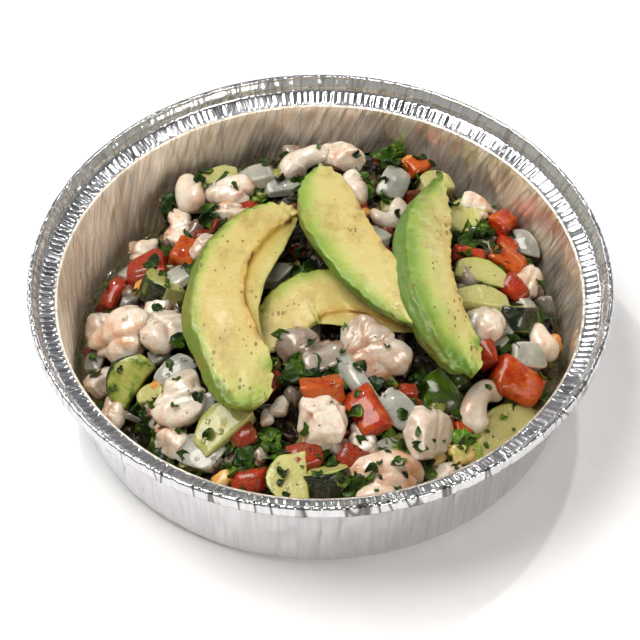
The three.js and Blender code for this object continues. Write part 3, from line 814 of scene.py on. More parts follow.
def keep_inside(mesh):
    """Presses soft food in where it would pass through the container's wall."""
    flat = np.empty(3 * len(mesh.vertices), dtype=np.float32)
    mesh.vertices.foreach_get("co", flat)
    points = flat.reshape(-1, 3) / MM
    reach = np.maximum(np.hypot(points[:, 0], points[:, 1]), 1e-6)
    free = np.interp(points[:, 2], WALL_HEIGHTS, WALL_RADII) - WALL_CLEAR
    start = free - WALL_SQUASH
    pressed = free - WALL_SQUASH * np.exp(-np.maximum(reach - start, 0) / WALL_SQUASH)
    points[:, :2] *= (np.where(reach > start, pressed, reach) / reach)[:, None]
    mesh.vertices.foreach_set("co", (points * MM).astype(np.float32).ravel())
    mesh.update()


BLOCKS = {}


def block_grid(cells):
    """The surface of a cube from -1 to 1 as points and faces, with shared edges."""
    if cells not in BLOCKS:
        line = np.linspace(-1, 1, cells + 1)
        index, points, faces = {}, [], []

        def number(point):
            key = tuple(np.round(point, 6))
            if key not in index:
                index[key] = len(points)
                points.append(point)
            return index[key]

        for axis in range(3):
            for side in (-1, 1):
                for i in range(cells):
                    for j in range(cells):
                        quad = []
                        for di, dj in ((0, 0), (1, 0), (1, 1), (0, 1)):
                            point = [0.0, 0.0, 0.0]
                            point[axis] = float(side)
                            point[(axis + 1) % 3] = line[i + di]
                            point[(axis + 2) % 3] = line[j + dj]
                            quad.append(number(point))
                        faces.append(tuple(quad if side > 0 else quad[::-1]))
        BLOCKS[cells] = (np.array(points), faces)
    return BLOCKS[cells]


def rough_block(size, rounding, cells, seed, skew=0.2):
    """A hand-cut block: rounded edges, corners out of square, faces a little wavy."""
    cube, faces = block_grid(cells)
    draw = np.random.default_rng(seed)
    half = np.array(size) / 2
    # Rows are drawn towards the edges, so that the rounding has points to bend.
    spread = np.sign(cube) * (1 - (1 - np.abs(cube)) ** 1.5)
    points = spread * half
    inner = np.clip(points, -(half - rounding), half - rounding)
    beyond = points - inner
    reach = np.linalg.norm(beyond, axis=1)[:, None]
    points = inner + beyond / np.maximum(reach, 1e-9) * rounding
    corners = draw.uniform(-skew, skew, size=(2, 2, 2, 3)) * half
    weight = (cube + 1) / 2
    for i in (0, 1):
        for j in (0, 1):
            for k in (0, 1):
                share = ((weight[:, 0] if i else 1 - weight[:, 0])
                         * (weight[:, 1] if j else 1 - weight[:, 1])
                         * (weight[:, 2] if k else 1 - weight[:, 2]))
                points = points + share[:, None] * corners[i, j, k]
    lump = np.min(half)
    wave = (wobble(points, 3.2 * lump, seed + 1) * 0.10 * lump
            + wobble(points, 1.1 * lump, seed + 2) * 0.035 * lump)
    points = points + beyond / np.maximum(reach, 1e-9) * wave[:, None]
    return points, faces, cube


# %% [markdown]
# Peeled, cooked shrimp curls, because the muscle along its belly shrinks more than the one
# along its back. Cut up, it gives two forms. A tail piece is a tapering tube on an arc with
# the soft rings of its segments. A body chunk is a lump of a few muscle lobes with a few
# flat cuts, grooves across it and one fissure along it. The creases keep some orange.

# %% Shrimp forms
def grid_faces(rows, sides):
    """Faces of a closed skin over rows of points, with a pole before and after them."""
    faces = [(0, 1 + (i + 1) % sides, 1 + i) for i in range(sides)]
    for row in range(rows - 1):
        for i in range(sides):
            a, b = 1 + row * sides + i, 1 + row * sides + (i + 1) % sides
            faces.append((a, b, b + sides, a + sides))
    foot, pole = 1 + (rows - 1) * sides, rows * sides + 1
    return faces + [(pole, foot + i, foot + (i + 1) % sides) for i in range(sides)]


def shrimp_tail(length, curl, girth, seed, stations=30, sides=20):
    draw = np.random.default_rng(seed)
    sweep, thick = math.radians(curl), girth * length
    arc_radius = max(length / 2 - thick, 0.8 * thick)
    along = np.linspace(0, 1, stations)
    angle = (along - 0.5) * sweep
    closing = np.clip(1 - np.abs(2 * along - 1) ** draw.uniform(5, 8), 0, 1) ** 0.5
    radius = thick * (1.0 - 0.4 * along ** 1.5) * closing
    rings = 0.06 * np.abs(np.cos(np.pi * along * draw.uniform(3.5, 4.5)))
    around = np.arange(sides) * 2 * np.pi / sides
    on_back = np.exp(-(np.angle(np.exp(1j * around)) / 0.9) ** 2)
    points = []
    for a, r, ring in zip(angle, radius, rings):
        way = np.array([math.sin(a), math.cos(a), 0.0])
        swell = 1 + ring * (on_back - 0.3)
        side = np.outer(np.cos(around) * r * swell, way)
        points.append(way * arc_radius + side + np.outer(np.sin(around) * r * 0.9 * swell, [0, 0, 1]))
    points = np.vstack([points[0].mean(axis=0), *points[1:-1], points[-1].mean(axis=0)])
    centre = np.vstack([points[0], np.repeat([p.mean(axis=0) for p in
                        points[1:-1].reshape(stations - 2, sides, 3)], sides, axis=0), points[-1]])
    away = (points - centre) / np.maximum(np.linalg.norm(points - centre, axis=1), 1e-6)[:, None]
    points += away * (wobble(points, thick * 1.8, seed + 1) * 0.12 * thick)[:, None]
    points -= (points.max(axis=0) + points.min(axis=0)) / 2
    where = np.repeat(along[1:-1], sides)
    warm = 0.6 * np.tile(on_back, stations - 2) + 0.5 * np.abs(2 * where - 1) ** 4
    return points, grid_faces(stations - 2, sides), np.concatenate([[0.6], warm, [0.6]])


CHUNK_CUTS = 5


def shrimp_chunk(length, seed, cells=16, lobes=5):
    """A body piece: a few muscle lobes grown together, with a cut face or two."""
    cube, faces = block_grid(cells)
    draw = np.random.default_rng(seed)
    ways = cube / np.linalg.norm(cube, axis=1)[:, None]
    centres = draw.normal(size=(lobes, 3)) * np.array([0.15, 0.10, 0.05]) * length
    radii = draw.uniform(0.26, 0.35, lobes) * length
    ahead = ways @ centres.T
    within = radii ** 2 - np.sum(centres ** 2, axis=1) + ahead ** 2
    reach = np.where(within > 0, ahead + np.sqrt(np.maximum(within, 0)), 0.02 * length)
    reach = np.maximum(reach, 0.02 * length)
    points = ways * (np.sum(reach ** 18, axis=1) ** (1 / 18))[:, None]
    ranked = np.sort(reach, axis=1)
    warm = 0.45 + 0.4 * wobble(points, 0.7 * length, seed + 3)
    warm += 0.4 * np.exp(-((ranked[:, -1] - ranked[:, -2]) / (0.03 * length)) ** 2)
    for _ in range(CHUNK_CUTS):
        cut = draw.normal(size=3)
        cut /= np.linalg.norm(cut)
        limit = draw.uniform(0.64, 0.86) * np.max(points @ cut)
        over = np.maximum(points @ cut - limit, 0)
        points -= np.outer(over * 0.92, cut)
        warm -= 0.15 * (over > 0)
    # Grooves between the segments run across the piece, and some colour stays along them.
    across = np.array([1.0, draw.uniform(-0.7, 0.7), draw.uniform(-0.4, 0.4)])
    across /= np.linalg.norm(across)
    stray = wobble(points, 0.8 * length, seed + 4) * 0.08 * length
    step = (points @ across + stray) / (draw.uniform(0.26, 0.34) * length)
    groove = np.exp(-((step - np.round(step)) / 0.13) ** 2)
    points -= ways * (groove * draw.uniform(0.012, 0.028) * length)[:, None]
    warm += 0.25 * groove
    # A deep fissure runs along it, where the vein was taken out.
    aside = np.cross(across, [0.0, draw.uniform(-0.4, 0.4), 1.0])
    along_back = points @ aside + wobble(points, 0.9 * length, seed + 5) * 0.07 * length
    fissure = np.exp(-((along_back - draw.uniform(-0.1, 0.1) * length) / (0.035 * length)) ** 2)
    points -= ways * (fissure * 0.07 * length)[:, None]
    warm += 0.3 * fissure
    creases = np.abs(wobble(points, 0.5 * length, seed + 1)) * 0.014 * length
    small = wobble(points, 0.17 * length, seed + 2) * 0.007 * length
    points += ways * (small - creases)[:, None]
    points *= np.array([length / np.ptp(points[:, 0]), 1.0, 0.9])
    points -= (points.max(axis=0) + points.min(axis=0)) / 2
    return points, faces, np.clip(warm, 0, 1)


# %% Shrimp pieces
# Middle x and y, length, turn, lift, curl in degrees (0 is a chunk), girth, warmth, painted shade.
SHRIMP = [
    (17, -19, 20, 168, -0.5, 0, 0, 0.45, 0.36), (-3, -19, 17, 20, -2, 0, 0, 0.3, 0.6),
    (1, -44, 17, 70, 2, 0, 0, 0.15, 0.0), (32, -45, 18, 250, 2, 0, 0, 0.0, 0.0),
    (20, -61, 20, 5, 0, 0, 0, 0.35, 0.0), (49, -30, 20, 60, 1, 190, 0.21, 0.1, 0.05),
    (-48, -4, 17, 100, 2, 0, 0, 0.05, 0.0), (-62, -2, 20, 350, 2.5, 0, 0, 0.22, 0.0),
    (-43, -31, 16, 30, 1, 0, 0, 0.0, 0.0), (-42, 52, 18, 110, 1, 160, 0.27, 0.25, 0.0),
    (-46, 41, 13, 75, 0, 0, 0, 0.65, 0.0), (-29, 50, 14, 0, 1, 0, 0, 0.1, 0.0),
    (-29, 42, 11, 10, 0, 0, 0, 0.6, 0.0), (-6, 63, 18, 30, 1, 180, 0.22, 0.2, 0.0),
    (6, 65, 15, 160, 1, 0, 0, 0.15, 0.0), (11, 50, 16, 100, 1, 150, 0.25, 0.3, 0.05),
    (23, 40, 13, 220, 0, 230, 0.22, 0.55, 0.05), (28, 37, 12, 70, 0, 150, 0.24, 0.45, 0.1),
    (52, -1, 15, 60, 0, 0, 0, 0.0, 0.05), (70, -4, 15, 120, 0, 150, 0.26, 0.05, 0.0),
    (-46, -41, 13, 330, 0, 0, 0, 0.35, 0.0), (-12, -38, 16, 60, 0, 60, 0.16, 0.6, 0.35),
    (-16, -41, 14, 85, 0, 50, 0.14, 0.5, 0.2), (52, 48, 14, 20, 0, 0, 0, 0.35, 0.1),
    (-38, 30, 10, 200, 0, 0, 0, 0.3, 0.1), (66, 20, 12, 80, 0, 0, 0, 0.25, 0.1),
    (13, -49, 11, 130, 0, 0, 0, 0.3, 0.15), (-52, 8, 10, 20, 0, 0, 0, 0.1, 0.1),
    (38, -56, 13, 20, 0, 0, 0, 0.2, 0.0), (62, -12, 10, 200, 0, 160, 0.24, 0.1, 0.0),
    (-68, -14, 11, 30, 1, 0, 0, 0.15, 0.0), (-70, 8, 11, 100, 1.5, 0, 0, 0.1, 0.0),
    (-57, 37, 10, 10, 1, 0, 0, 0.2, 0.05), (-64, -26, 10, 70, 1, 0, 0, 0.3, 0.05),
]
pile = Pile()
for i, (x, y, length, turn, lift, curl, girth, warmth, shade) in enumerate(SHRIMP):
    seed = 100 + 7 * i
    length *= 1.2
    made = shrimp_tail(length, curl, girth, seed) if curl else shrimp_chunk(length, seed)
    points, faces, warm = made
    draw = np.random.default_rng(900 + i)
    height = salad_height(x, y) + lift + 0.12 * length
    tip, lean = draw.uniform(-25, 25), tuple(draw.uniform(-0.2, 0.2, 2))
    points = lay(points, x, y, height, turn, tip, lean)
    pile.put(points, faces, {
        "warm": warm * (0.28 + 0.8 * warmth), "shade": shade + draw.uniform(0, 0.2),
    })
shrimp = pile.build("shrimp_chunks")


# %% [markdown]
# Wet food shares one finish: colour from a value on the piece plus slow noise, fine lines
# in the flesh, painted shade, light that sinks in a little, a rough skin, and a thin coat of
# juice on top.

# %% Materials of the food
JUICE_TINT = linear("#fbf7e8")


def wet_food(name, stops, value_name, pattern_size, vein, grain_size, grain_depth,
             shader_values):
    """A wet, slightly translucent food finish with its colour from a ramp over a value.

    vein is the colour, spacing and strength of the fine lines in the flesh.
    """
    material, tree, shader, place = new_material(name)
    value = add(tree, ATTRIBUTE, attribute_name=value_name, output="Fac")
    shade = add(tree, ATTRIBUTE, attribute_name="shade", output="Fac")
    slow_noise = {"Vector": place, "Scale": 1 / pattern_size, "Detail": 3.0, "Roughness": 0.55}
    slow = add(tree, NOISE, slow_noise)
    spread = {"Value": slow, "From Min": 0.3, "From Max": 0.7, "To Min": -0.3, "To Max": 0.3}
    shift = add(tree, RANGE, spread, output="Result")
    colour = add(tree, RAMP, {"Fac": add(tree, MATH, (value, shift), operation="ADD")}, stops=stops)
    vein_colour, vein_spacing, vein_strength = vein
    line_noise = {"Vector": place, "Scale": 1 / vein_spacing, "Detail": 2.0, "Distortion": 0.6}
    lines = add(tree, NOISE, line_noise)
    off_line = add(tree, MATH, (lines, 0.5), operation="SUBTRACT")
    line_width = {"Value": add(tree, MATH, (off_line,), operation="ABSOLUTE"), "From Min": 0.0,
                  "From Max": 0.045, "To Min": vein_strength, "To Max": 0.0}
    on_line = add(tree, RANGE, line_width, output="Result")
    veined = add(tree, MIX, {
        "Factor_Float": on_line, "A_Color": colour, "B_Color": linear(vein_colour),
    }, data_type="RGBA", output="Result_Color")
    # Painted shade: the shade value (painted shade where a piece lies low or under a slice, with some
    # random tone) and the random tone of scattered bits mix the colour to dark brown.
    tone = add(tree, ATTRIBUTE, attribute_name="tone", output="Fac")
    tone_and_painted_shade = add(tree, MATH, (shade, tone), operation="ADD")
    darken = add(tree, MATH, (tone_and_painted_shade, 0.8), operation="MULTIPLY")
    darker = add(tree, MIX, {
        "Factor_Float": darken, "A_Color": veined, "B_Color": linear("#35241a"),
    }, data_type="RGBA", output="Result_Color")
    grain = add(tree, NOISE, {"Vector": place, "Scale": 1 / grain_size, "Detail": 3.0})
    relief = add(tree, BUMP, {"Height": grain, "Strength": 0.7, "Distance": grain_depth})
    folds = add(tree, BUMP, {"Height": slow, "Normal": relief, "Strength": 0.5, "Distance": 0.0014})
    gloss_range = {"Value": slow, "From Min": 0.3, "From Max": 0.7, "To Min": 0.18, "To Max": 0.38}
    gloss = add(tree, RANGE, gloss_range, output="Result")
    set_shader(tree, shader, Base_Color=darker, Roughness=gloss, Normal=folds,
               Coat_Tint=JUICE_TINT, **shader_values)
    return material


def finish(piece, material):
    keep_inside(piece.data)
    piece.data.materials.append(material)
    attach(piece, "root")


SHRIMP_MATERIAL = wet_food(
    "shrimp_flesh_cooked",
    [(0.0, "#ebe6e3"), (0.35, "#e6d5cd"), (0.58, "#dab6a3"), (0.8, "#c88c66"), (1.0, "#b06a40")],
    "warm", 0.006, ("#d09a78", 0.005, 0.3), 0.0012, 0.00018,
    dict(IOR=1.4, Subsurface_Weight=0.55, Subsurface_Radius=(1.0, 0.6, 0.4),
         Subsurface_Scale=0.003, Coat_Weight=1.0, Coat_Roughness=0.04, Coat_IOR=1.5),
)
finish(shrimp, SHRIMP_MATERIAL)

# %% [markdown]
# Tomato is diced with its skin on. A die is a rounded block with corners out of square.
# One face is skin, tight and glossy; the cut faces are paler, wetter and lumpier.

# %% Tomato dice
# Middle x and y, length, turn, lift, tip, redness from watery to orange-red.
TOMATO = [
    (1, -36, 13.5, 12, 4, 48, 1.0), (14, -40, 16, 300, 1.5, 20, 0.7),
    (-5, -55, 12, 15, 0.3, 0, 0.12), (11, -55, 12, 340, 0.3, 10, 0.1),
    (-21, -60, 12, 5, 0.5, 20, 0.3), (61, -20, 17, 345, 2, 20, 0.85),
    (51, -11, 13, 290, 0.5, 30, 0.55), (-55, 27, 15, 5, 1, 10, 0.3),
    (-43, 29, 11, 70, 1.5, 30, 1.0), (-23, 44, 8, 30, 1, 0, 0.4),
    (59, 43, 11, 50, 1.5, 0, 0.75), (47, 25, 11, 0, 1, 20, 0.6),
    (61, 27, 13, 330, 0.5, 10, 0.95), (61, 14, 10, 320, 1.5, 30, 0.35),
    (32, 63, 9, 40, 1, 0, 1.0), (-23, -46, 9, 20, 0.3, 10, 0.1),
    (12, 44, 7, 0, 0, 0, 0.8), (60, 34, 9, 80, 0.5, 0, 0.7), (-14, -28, 8, 40, -0.5, 0, 0.15),
    (26, -30, 8, 10, 0, 0, 0.2), (-40, -27, 7, 60, 0.5, 0, 0.6), (44, -38, 7, 20, 1, 0, 0.9),
    (-66, 21, 11, 60, 1.5, 10, 0.35),
]
pile = Pile()
for i, (x, y, length, turn, lift, tip, red) in enumerate(TOMATO):
    draw = np.random.default_rng(300 + i)
    length *= 0.92
    size = (length, length * draw.uniform(0.62, 0.82), length * draw.uniform(0.4, 0.58))
    points, faces, cube = rough_block(size, (0.42 - 0.22 * red) * size[2], 8, 310 + 3 * i, 0.28)
    # The skin side bulges as the fruit did.
    bulge = (1 - cube[:, 0] ** 2) * (1 - cube[:, 1] ** 2) * np.clip(cube[:, 2], 0, 1)
    points[:, 2] += bulge * 0.12 * size[2]
    skin = smooth_step(0.8, 1.0, cube[:, 2])
    height = salad_height(x, y) + lift + 0.12 * length
    points = lay(points, x, y, height, turn, tip, tuple(draw.uniform(-0.15, 0.15, 2)))
    pile.put(points, faces, {"red": red * 0.8 + 0.1 + 0.12 * skin, "shade": draw.uniform(0, 0.25)})
tomato = pile.build("tomato_dice")
TOMATO_MATERIAL = wet_food(
    "tomato_flesh_cut",
    [(0.0, "#96543c"), (0.2, "#8a3826"), (0.5, "#982814"), (0.75, "#ae2e0c"), (1.0, "#bb5518")],
    "red", 0.004, ("#b9703c", 0.003, 0.25), 0.0009, 0.0004,
    dict(IOR=1.38, Specular_IOR_Level=0.25, Subsurface_Weight=0.3, Subsurface_Radius=(1.0, 0.25, 0.12),
         Subsurface_Scale=0.002, Coat_Weight=1.0, Coat_Roughness=0.04, Coat_IOR=1.36),
)
finish(tomato, TOMATO_MATERIAL)

# %% [markdown]
# Cucumber is cut to half moons and bars. The rind is nearly black-green and a little rough,
# then comes a thin bright green line, then pale wet flesh. A block whose far side is bent
# out to an arc gives the half moon, and each point keeps how near to the rind it is.

# %% Cucumber
# Middle x and y, length, depth, thickness, turn, lift, tip, rind from peeled to dark. A rind
# over 1 is a piece cut close to the skin, with green flesh.
CUCUMBER = [
    (-30, -41, 20, 12, 7, 35, 0.5, 10, 0.25), (-10, -62, 15, 13, 7, 95, 1.5, 10, 0.9),
    (2, -63, 15, 9, 8, 192, 1, 50, 1.0), (-51, 15, 15, 12, 8, 118, 1.5, 50, 1.0),
    (51, 19, 16, 8, 6, 350, 1, 30, 0.9), (50, 6, 18, 8, 7, 5, 1.5, 0, 0.2),
    (-60, -17, 17, 12, 9, 40, 1.5, 30, 1.5), (56, -33, 24, 13, 6, 35, -1.5, 5, 0.3),
    (62, 2, 14, 9, 8, 192, 1.5, 50, 1.0), (46, 43, 18, 11, 7, 60, 0.5, 10, 0.3),
    (37, 58, 12, 8, 6, 20, 0, 0, 0.5), (-33, 60, 12, 8, 6, 10, 0, 10, 0.4),
    (-36, 20, 10, 7, 5, 80, 0, 0, 0.5), (27, -66, 9, 7, 5, 60, 0, 0, 0.6),
    (-52, -24, 9, 7, 5, 0, 0, 0, 0.5), (64, -30, 12, 8, 5, 60, -1, 0, 0.5),
]
pile = Pile()
for i, (x, y, length, deep, thick, turn, lift, tip, rind) in enumerate(CUCUMBER):
    draw = np.random.default_rng(400 + i)
    points, faces, cube = rough_block((length, deep, thick), 0.13 * thick, 9, 410 + 3 * i, 0.10)
    far = (cube[:, 1] + 1) / 2
    points[:, 1] -= far ** 1.5 * deep * 0.45 * (np.clip(points[:, 0] / (length / 2), -1, 1)) ** 2
    near_rind = smooth_step(0.45, 1.0, cube[:, 1])
    height = salad_height(x, y) + lift + 0.1 * length
    points = lay(points, x, y, height, turn, tip, tuple(draw.uniform(-0.12, 0.12, 2)))
    own = near_rind * (0.35 + 0.65 * min(rind, 1.0)) + max(rind - 1.0, 0.0)
    pile.put(points, faces, {"rind": own, "shade": draw.uniform(0, 0.25)})
cucumber = pile.build("cucumber_pieces")
CUCUMBER_MATERIAL = wet_food(
    "cucumber_flesh_and_rind",
    [(0.0, "#bdbc80"), (0.4, "#abae5e"), (0.62, "#829834"), (0.78, "#2b4616"), (0.95, "#0b1a08")],
    "rind", 0.005, ("#d8d8ac", 0.004, 0.05), 0.0012, 0.0003,
    dict(IOR=1.36, Subsurface_Weight=0.3, Subsurface_Radius=(0.7, 0.9, 0.35),
         Subsurface_Scale=0.0025, Coat_Weight=1.0, Coat_Roughness=0.04, Coat_IOR=1.36),
)
finish(cucumber, CUCUMBER_MATERIAL)

# %% [markdown]
# White onion falls apart in curved layers. In lime juice they turn glassy: grey-white with
# a blue breath, brighter at the cut edge, with fine lines along the layer. A thin block bent
# in two ways gives the petal.

# %% Onion
# Middle x and y, length, width, thickness, bend, turn, lift, tip.
ONION = [
    (-45, -19, 12, 9, 2.6, 0.10, 40, 1.5, 15), (-36, -48, 13, 10, 4.5, 0.08, 330, 1, 0),
    (-22, 57, 14, 10, 5, 0.12, 200, 1, 10), (24, 55, 12, 9, 3.6, 0.14, 70, 0.5, 10),
    (67, 37, 11, 8, 3, 0.10, 340, 1, 0), (65, -9, 12, 9, 5, 0.08, 10, 1, 0),
    (11, -29, 19, 6, 2.4, 0.12, 300, 1.5, 20), (23, -37, 15, 11, 3, 0.10, 320, 0.5, 0),
    (-33, -33, 13, 9, 3.5, 0.10, 20, 1, 15), (-13, 14, 9, 7, 4, 0.06, 60, 0, 0),
    (9, -24, 10, 5, 2.2, 0.12, 250, 1, 0), (-12, 55, 12, 8, 3, 0.10, 20, 0, 0),
    (15, 30, 14, 10, 3, 0.08, 30, -1, 0), (57, -4, 9, 6, 3, 0.08, 60, 1, 0),
    (-45, 20, 11, 8, 3, 0.08, 40, 0.5, 0), (-50, -10, 8, 6, 2.5, 0.08, 10, 0, 0),
    (33, -62, 9, 6, 3, 0.08, 100, 0, 0), (66, 8, 10, 7, 3, 0.08, 130, 0.5, 20),
    (38, 50, 12, 8, 2.5, 0.1, 120, 0.5, 10), (-36, 57, 10, 7, 3, 0.1, 80, 0, 0),
    (52, 32, 9, 6, 2.5, 0.08, 15, 0, 0), (20, -50, 10, 7, 3, 0.1, 30, -0.5, 0),
    (-71, -4, 9, 6, 2.5, 0.08, 80, 1, 0), (-61, 29, 10, 7, 3, 0.1, 130, 1, 10),
]
pile = Pile()
for i, (x, y, length, width, thick, bow, turn, lift, tip) in enumerate(ONION):
    draw = np.random.default_rng(500 + i)
    points, faces, cube = rough_block((length, width, thick), 0.14 * thick, 8, 510 + 3 * i, 0.26)
    narrow = 1 - 0.25 * np.clip(cube[:, 0], -1, 1) ** 2
    points[:, 1] *= narrow
    hump = 1 - (points[:, 0] / (length / 2)) ** 2 - 0.6 * (points[:, 1] / (width / 2)) ** 2
    points[:, 2] += bow * length * hump
    edge = np.maximum(np.abs(cube[:, 0]), np.abs(cube[:, 1])) ** 6
    height = salad_height(x, y) + lift + 0.06 * length
    points = lay(points, x, y, height, turn, tip, tuple(draw.uniform(-0.2, 0.2, 2)))
    pile.put(points, faces, {"edge": 0.25 + 0.5 * edge, "shade": draw.uniform(0, 0.35)})
onion = pile.build("onion_petals")
ONION_MATERIAL = wet_food(
    "onion_layer_in_lime",
    [(0.0, "#9da1a0"), (0.4, "#b0b3b2"), (0.8, "#d6d5d0")],
    "edge", 0.006, ("#e2e2da", 0.0035, 0.12), 0.0012, 0.00015,
    dict(IOR=1.37, Subsurface_Weight=0.7, Subsurface_Radius=(1.0, 0.95, 0.9),
         Subsurface_Scale=0.003, Coat_Weight=1.0,
         Coat_Roughness=0.05, Coat_IOR=1.45),
)
finish(onion, ONION_MATERIAL)

# %% [markdown]
# A few pieces of green chilli and some kernels of sweetcorn and pea finish the mix. The
# chilli is a cupped strip with a waxy skin. A kernel is a flattened tooth.

# %% Chilli, sweetcorn and peas
# Middle x and y, length, width, bend, turn, lift, tip.
CHILLI = [(37, -28, 15, 11, 0.16, 310, 0.5, 25), (43, -22, 8, 6, 0.2, 20, -1, 0)]
pile = Pile()
for i, (x, y, length, width, bow, turn, lift, tip) in enumerate(CHILLI):
    points, faces, cube = rough_block((length, width, 2.2), 0.6, 9, 600 + 3 * i, 0.12)
    hump = 1 - (points[:, 0] / (length / 2)) ** 2 - (points[:, 1] / (width / 2)) ** 2
    points[:, 2] += bow * length * hump
    height = salad_height(x, y) + lift
    points = lay(points, x, y, height, turn, tip)
    skin = smooth_step(0.5, 1.0, cube[:, 2])
    pile.put(points, faces, {"green": 0.2 + 0.7 * skin, "shade": 0.0})
chilli = pile.build("green_chilli")
CHILLI_MATERIAL = wet_food(
    "chilli_wall_waxy",
    [(0.0, "#7c9236"), (0.4, "#5c7d1c"), (0.8, "#3c560e"), (1.0, "#2a400c")],
    "green", 0.006, ("#2a420c", 0.006, 0.3), 0.002, 0.0001,
    dict(IOR=1.42, Subsurface_Weight=0.15, Subsurface_Radius=(0.5, 0.9, 0.2),
         Subsurface_Scale=0.0015, Coat_Weight=0.8, Coat_Roughness=0.06, Coat_IOR=1.4),
)
finish(chilli, CHILLI_MATERIAL)

# Middle x and y, length, turn, lift, colour from pea green to orange.
KERNELS = [
    (43, -47, 9, 20, 1.5, 0.45), (57, 4, 7, 0, 0.5, 0.9), (74, -3, 6, 90, 1, 0.9),
    (43, -41, 7, 50, 1, 0.05), (-50, -22, 6, 30, 0.5, 0.8), (36, -49, 6, 30, 0.5, 0.7),
    (-29, -58, 7, 30, 0.5, 0.75), (-57, 20, 6, 80, 1, 0.8), (47, -44, 7, 100, 0, 0.4),
    (66, 20, 6, 60, 0.5, 0.8), (14, 40, 5, 10, 0.5, 0.8), (29, 64, 6, 50, 1, 0.85),
]
pile = Pile()
for i, (x, y, length, turn, lift, colour) in enumerate(KERNELS):
    size = (length, 0.75 * length, 0.6 * length)
    points, faces, cube = rough_block(size, 0.28 * length, 6, 650 + 3 * i, 0.1)
    points[:, 1] *= 1 - 0.2 * np.clip(cube[:, 0], -1, 1)
    points = lay(points, x, y, salad_height(x, y) + lift + 0.2 * length, turn, 0.0)
    pile.put(points, faces, {"ripe": colour, "shade": 0.0})
kernels = pile.build("sweetcorn_and_peas")
KERNEL_MATERIAL = wet_food(
    "kernel_skin_cooked",
    [(0.0, "#4f8a1c"), (0.25, "#93a544"), (0.45, "#d2bd80"), (0.75, "#cc9344"), (1.0, "#c4701c")],
    "ripe", 0.008, ("#f0dcae", 0.004, 0.25), 0.002, 0.00012,
    dict(IOR=1.4, Subsurface_Weight=0.35, Subsurface_Radius=(1.0, 0.7, 0.25),
         Subsurface_Scale=0.002, Coat_Weight=0.6, Coat_Roughness=0.08, Coat_IOR=1.34),
)
finish(kernels, KERNEL_MATERIAL)

# %% [markdown]
# An avocado slice is a wedge cut lengthwise from a ripe fruit: two flat, buttery cut faces,
# a rounded outer side that is green where the skin was, and on the inner edge the smooth
# hollow of the stone. The wedge follows a curved route in space, because slices are laid
# over each other and sag. Its section is a closed line of a few named corners, drawn finely
# and softened, and carried along the route.

# %% Avocado slices
AVOCADOS = [
    {"route": [(-9, 37, 38), (-21, 22, 42.5), (-30, -9, 43.5), (-21, -45, 37)],
     "width": 24, "thickness": 11, "roll": -2, "pit_depth": 7.5, "pit_at": 0.43, "pit_reach": 0.41,
     "ends": (0.6, 0.25), "tips": (0.1, 0.8), "green": 0.10, "gold": 0.2, "dim": 0.1, "rim_from": 0.55,
     "undercut": 0.04, "shoulder": 0.10, "nub": (0.9, 1.2)},
    {"route": [(0, 57, 38), (2, 36, 42.5), (11, 9, 47), (28, -18, 44)],
     "width": 23, "thickness": 10, "roll": 4, "pit_depth": 1.5, "pit_at": 0.5, "pit_reach": 0.3,
     "ends": (1.05, 0.65), "tips": (0.5, 0.3), "green": 0.12, "gold": 0.1, "dim": 0.0, "rim_from": -0.1,
     "undercut": 0.25, "shoulder": 0.06, "nub": (0.93, 0.8)},
    {"route": [(39.5, 52, 37.2), (34, 22, 43), (35.5, -6, 45.5), (46, -33, 39)],
     "width": 19, "thickness": 11, "roll": 22, "pit_depth": 1.5, "pit_at": 0.5, "pit_reach": 0.3,
     "ends": (1.0, 0.28), "tips": (0.7, 0.6), "green": 0.2, "gold": 0.05, "dim": 0.0, "rim_from": -0.8,
     "undercut": 0.04, "shoulder": 0.10, "nub": (0.9, 1.0)},
    {"route": [(33, -12, 35.5), (14, -2, 37), (-5, -1, 36.5), (-20, -19, 32)],
     "width": 21, "thickness": 7, "roll": 3, "pit_depth": 5, "pit_at": 0.35, "pit_reach": 0.3,
     "ends": (0.7, 0.5), "tips": (0.2, 0.2), "green": 0.12, "gold": 0.4, "dim": 0.15, "rim_from": 0.2,
     "undercut": 0.1, "shoulder": 0.03, "nub": (0.64, 2.4)},
]
SLICE_STATIONS = 110
SLICE_SIDES = 100


def route_point(route, along):
    """A point on a smooth curve through the route's points (a centripetal Catmull-Rom)."""
    spans = len(route) - 1
    span = min(int(along * spans), spans - 1)
    part = along * spans - span
    before = route[span - 1] if span > 0 else 2 * route[0] - route[1]
    after = route[span + 2] if span + 2 <= spans else 2 * route[-1] - route[-2]
    corners = [before, route[span], route[span + 1], after]
    gaps = [math.sqrt(np.linalg.norm(b - a)) for a, b in zip(corners, corners[1:])]
    leave = ((corners[1] - corners[0]) / gaps[0] - (corners[2] - corners[0]) / (gaps[0] + gaps[1])
             + (corners[2] - corners[1]) / gaps[1]) * gaps[1]
    arrive = ((corners[2] - corners[1]) / gaps[1] - (corners[3] - corners[1]) / (gaps[1] + gaps[2])
              + (corners[3] - corners[2]) / gaps[2]) * gaps[1]
    square = -3 * corners[1] + 3 * corners[2] - 2 * leave - arrive
    cube = 2 * corners[1] - 2 * corners[2] + leave + arrive
    return corners[1] + leave * part + square * part ** 2 + cube * part ** 3


def slice_section(half, width, depth, full, bay, under, shoulder):
    """The wedge's corners as (across, above), from the outer rim of the cut face round."""
    return np.array([
        (half - shoulder * width * full, 0.0),
        (half + (0.05 - 0.4 * under) * width * full, -0.35 * depth),
        (half - (0.02 + under) * width * full, -0.72 * depth), (half * (0.72 - 2 * under), -depth),
        (half * 0.1, -0.92 * depth), (-half * 0.7, -0.7 * depth),
        (-half, -0.30 * depth), (-half + 0.86 * bay, -0.17 * depth),
        (-half + bay, 0.0), (0.0, 0.25),
    ])


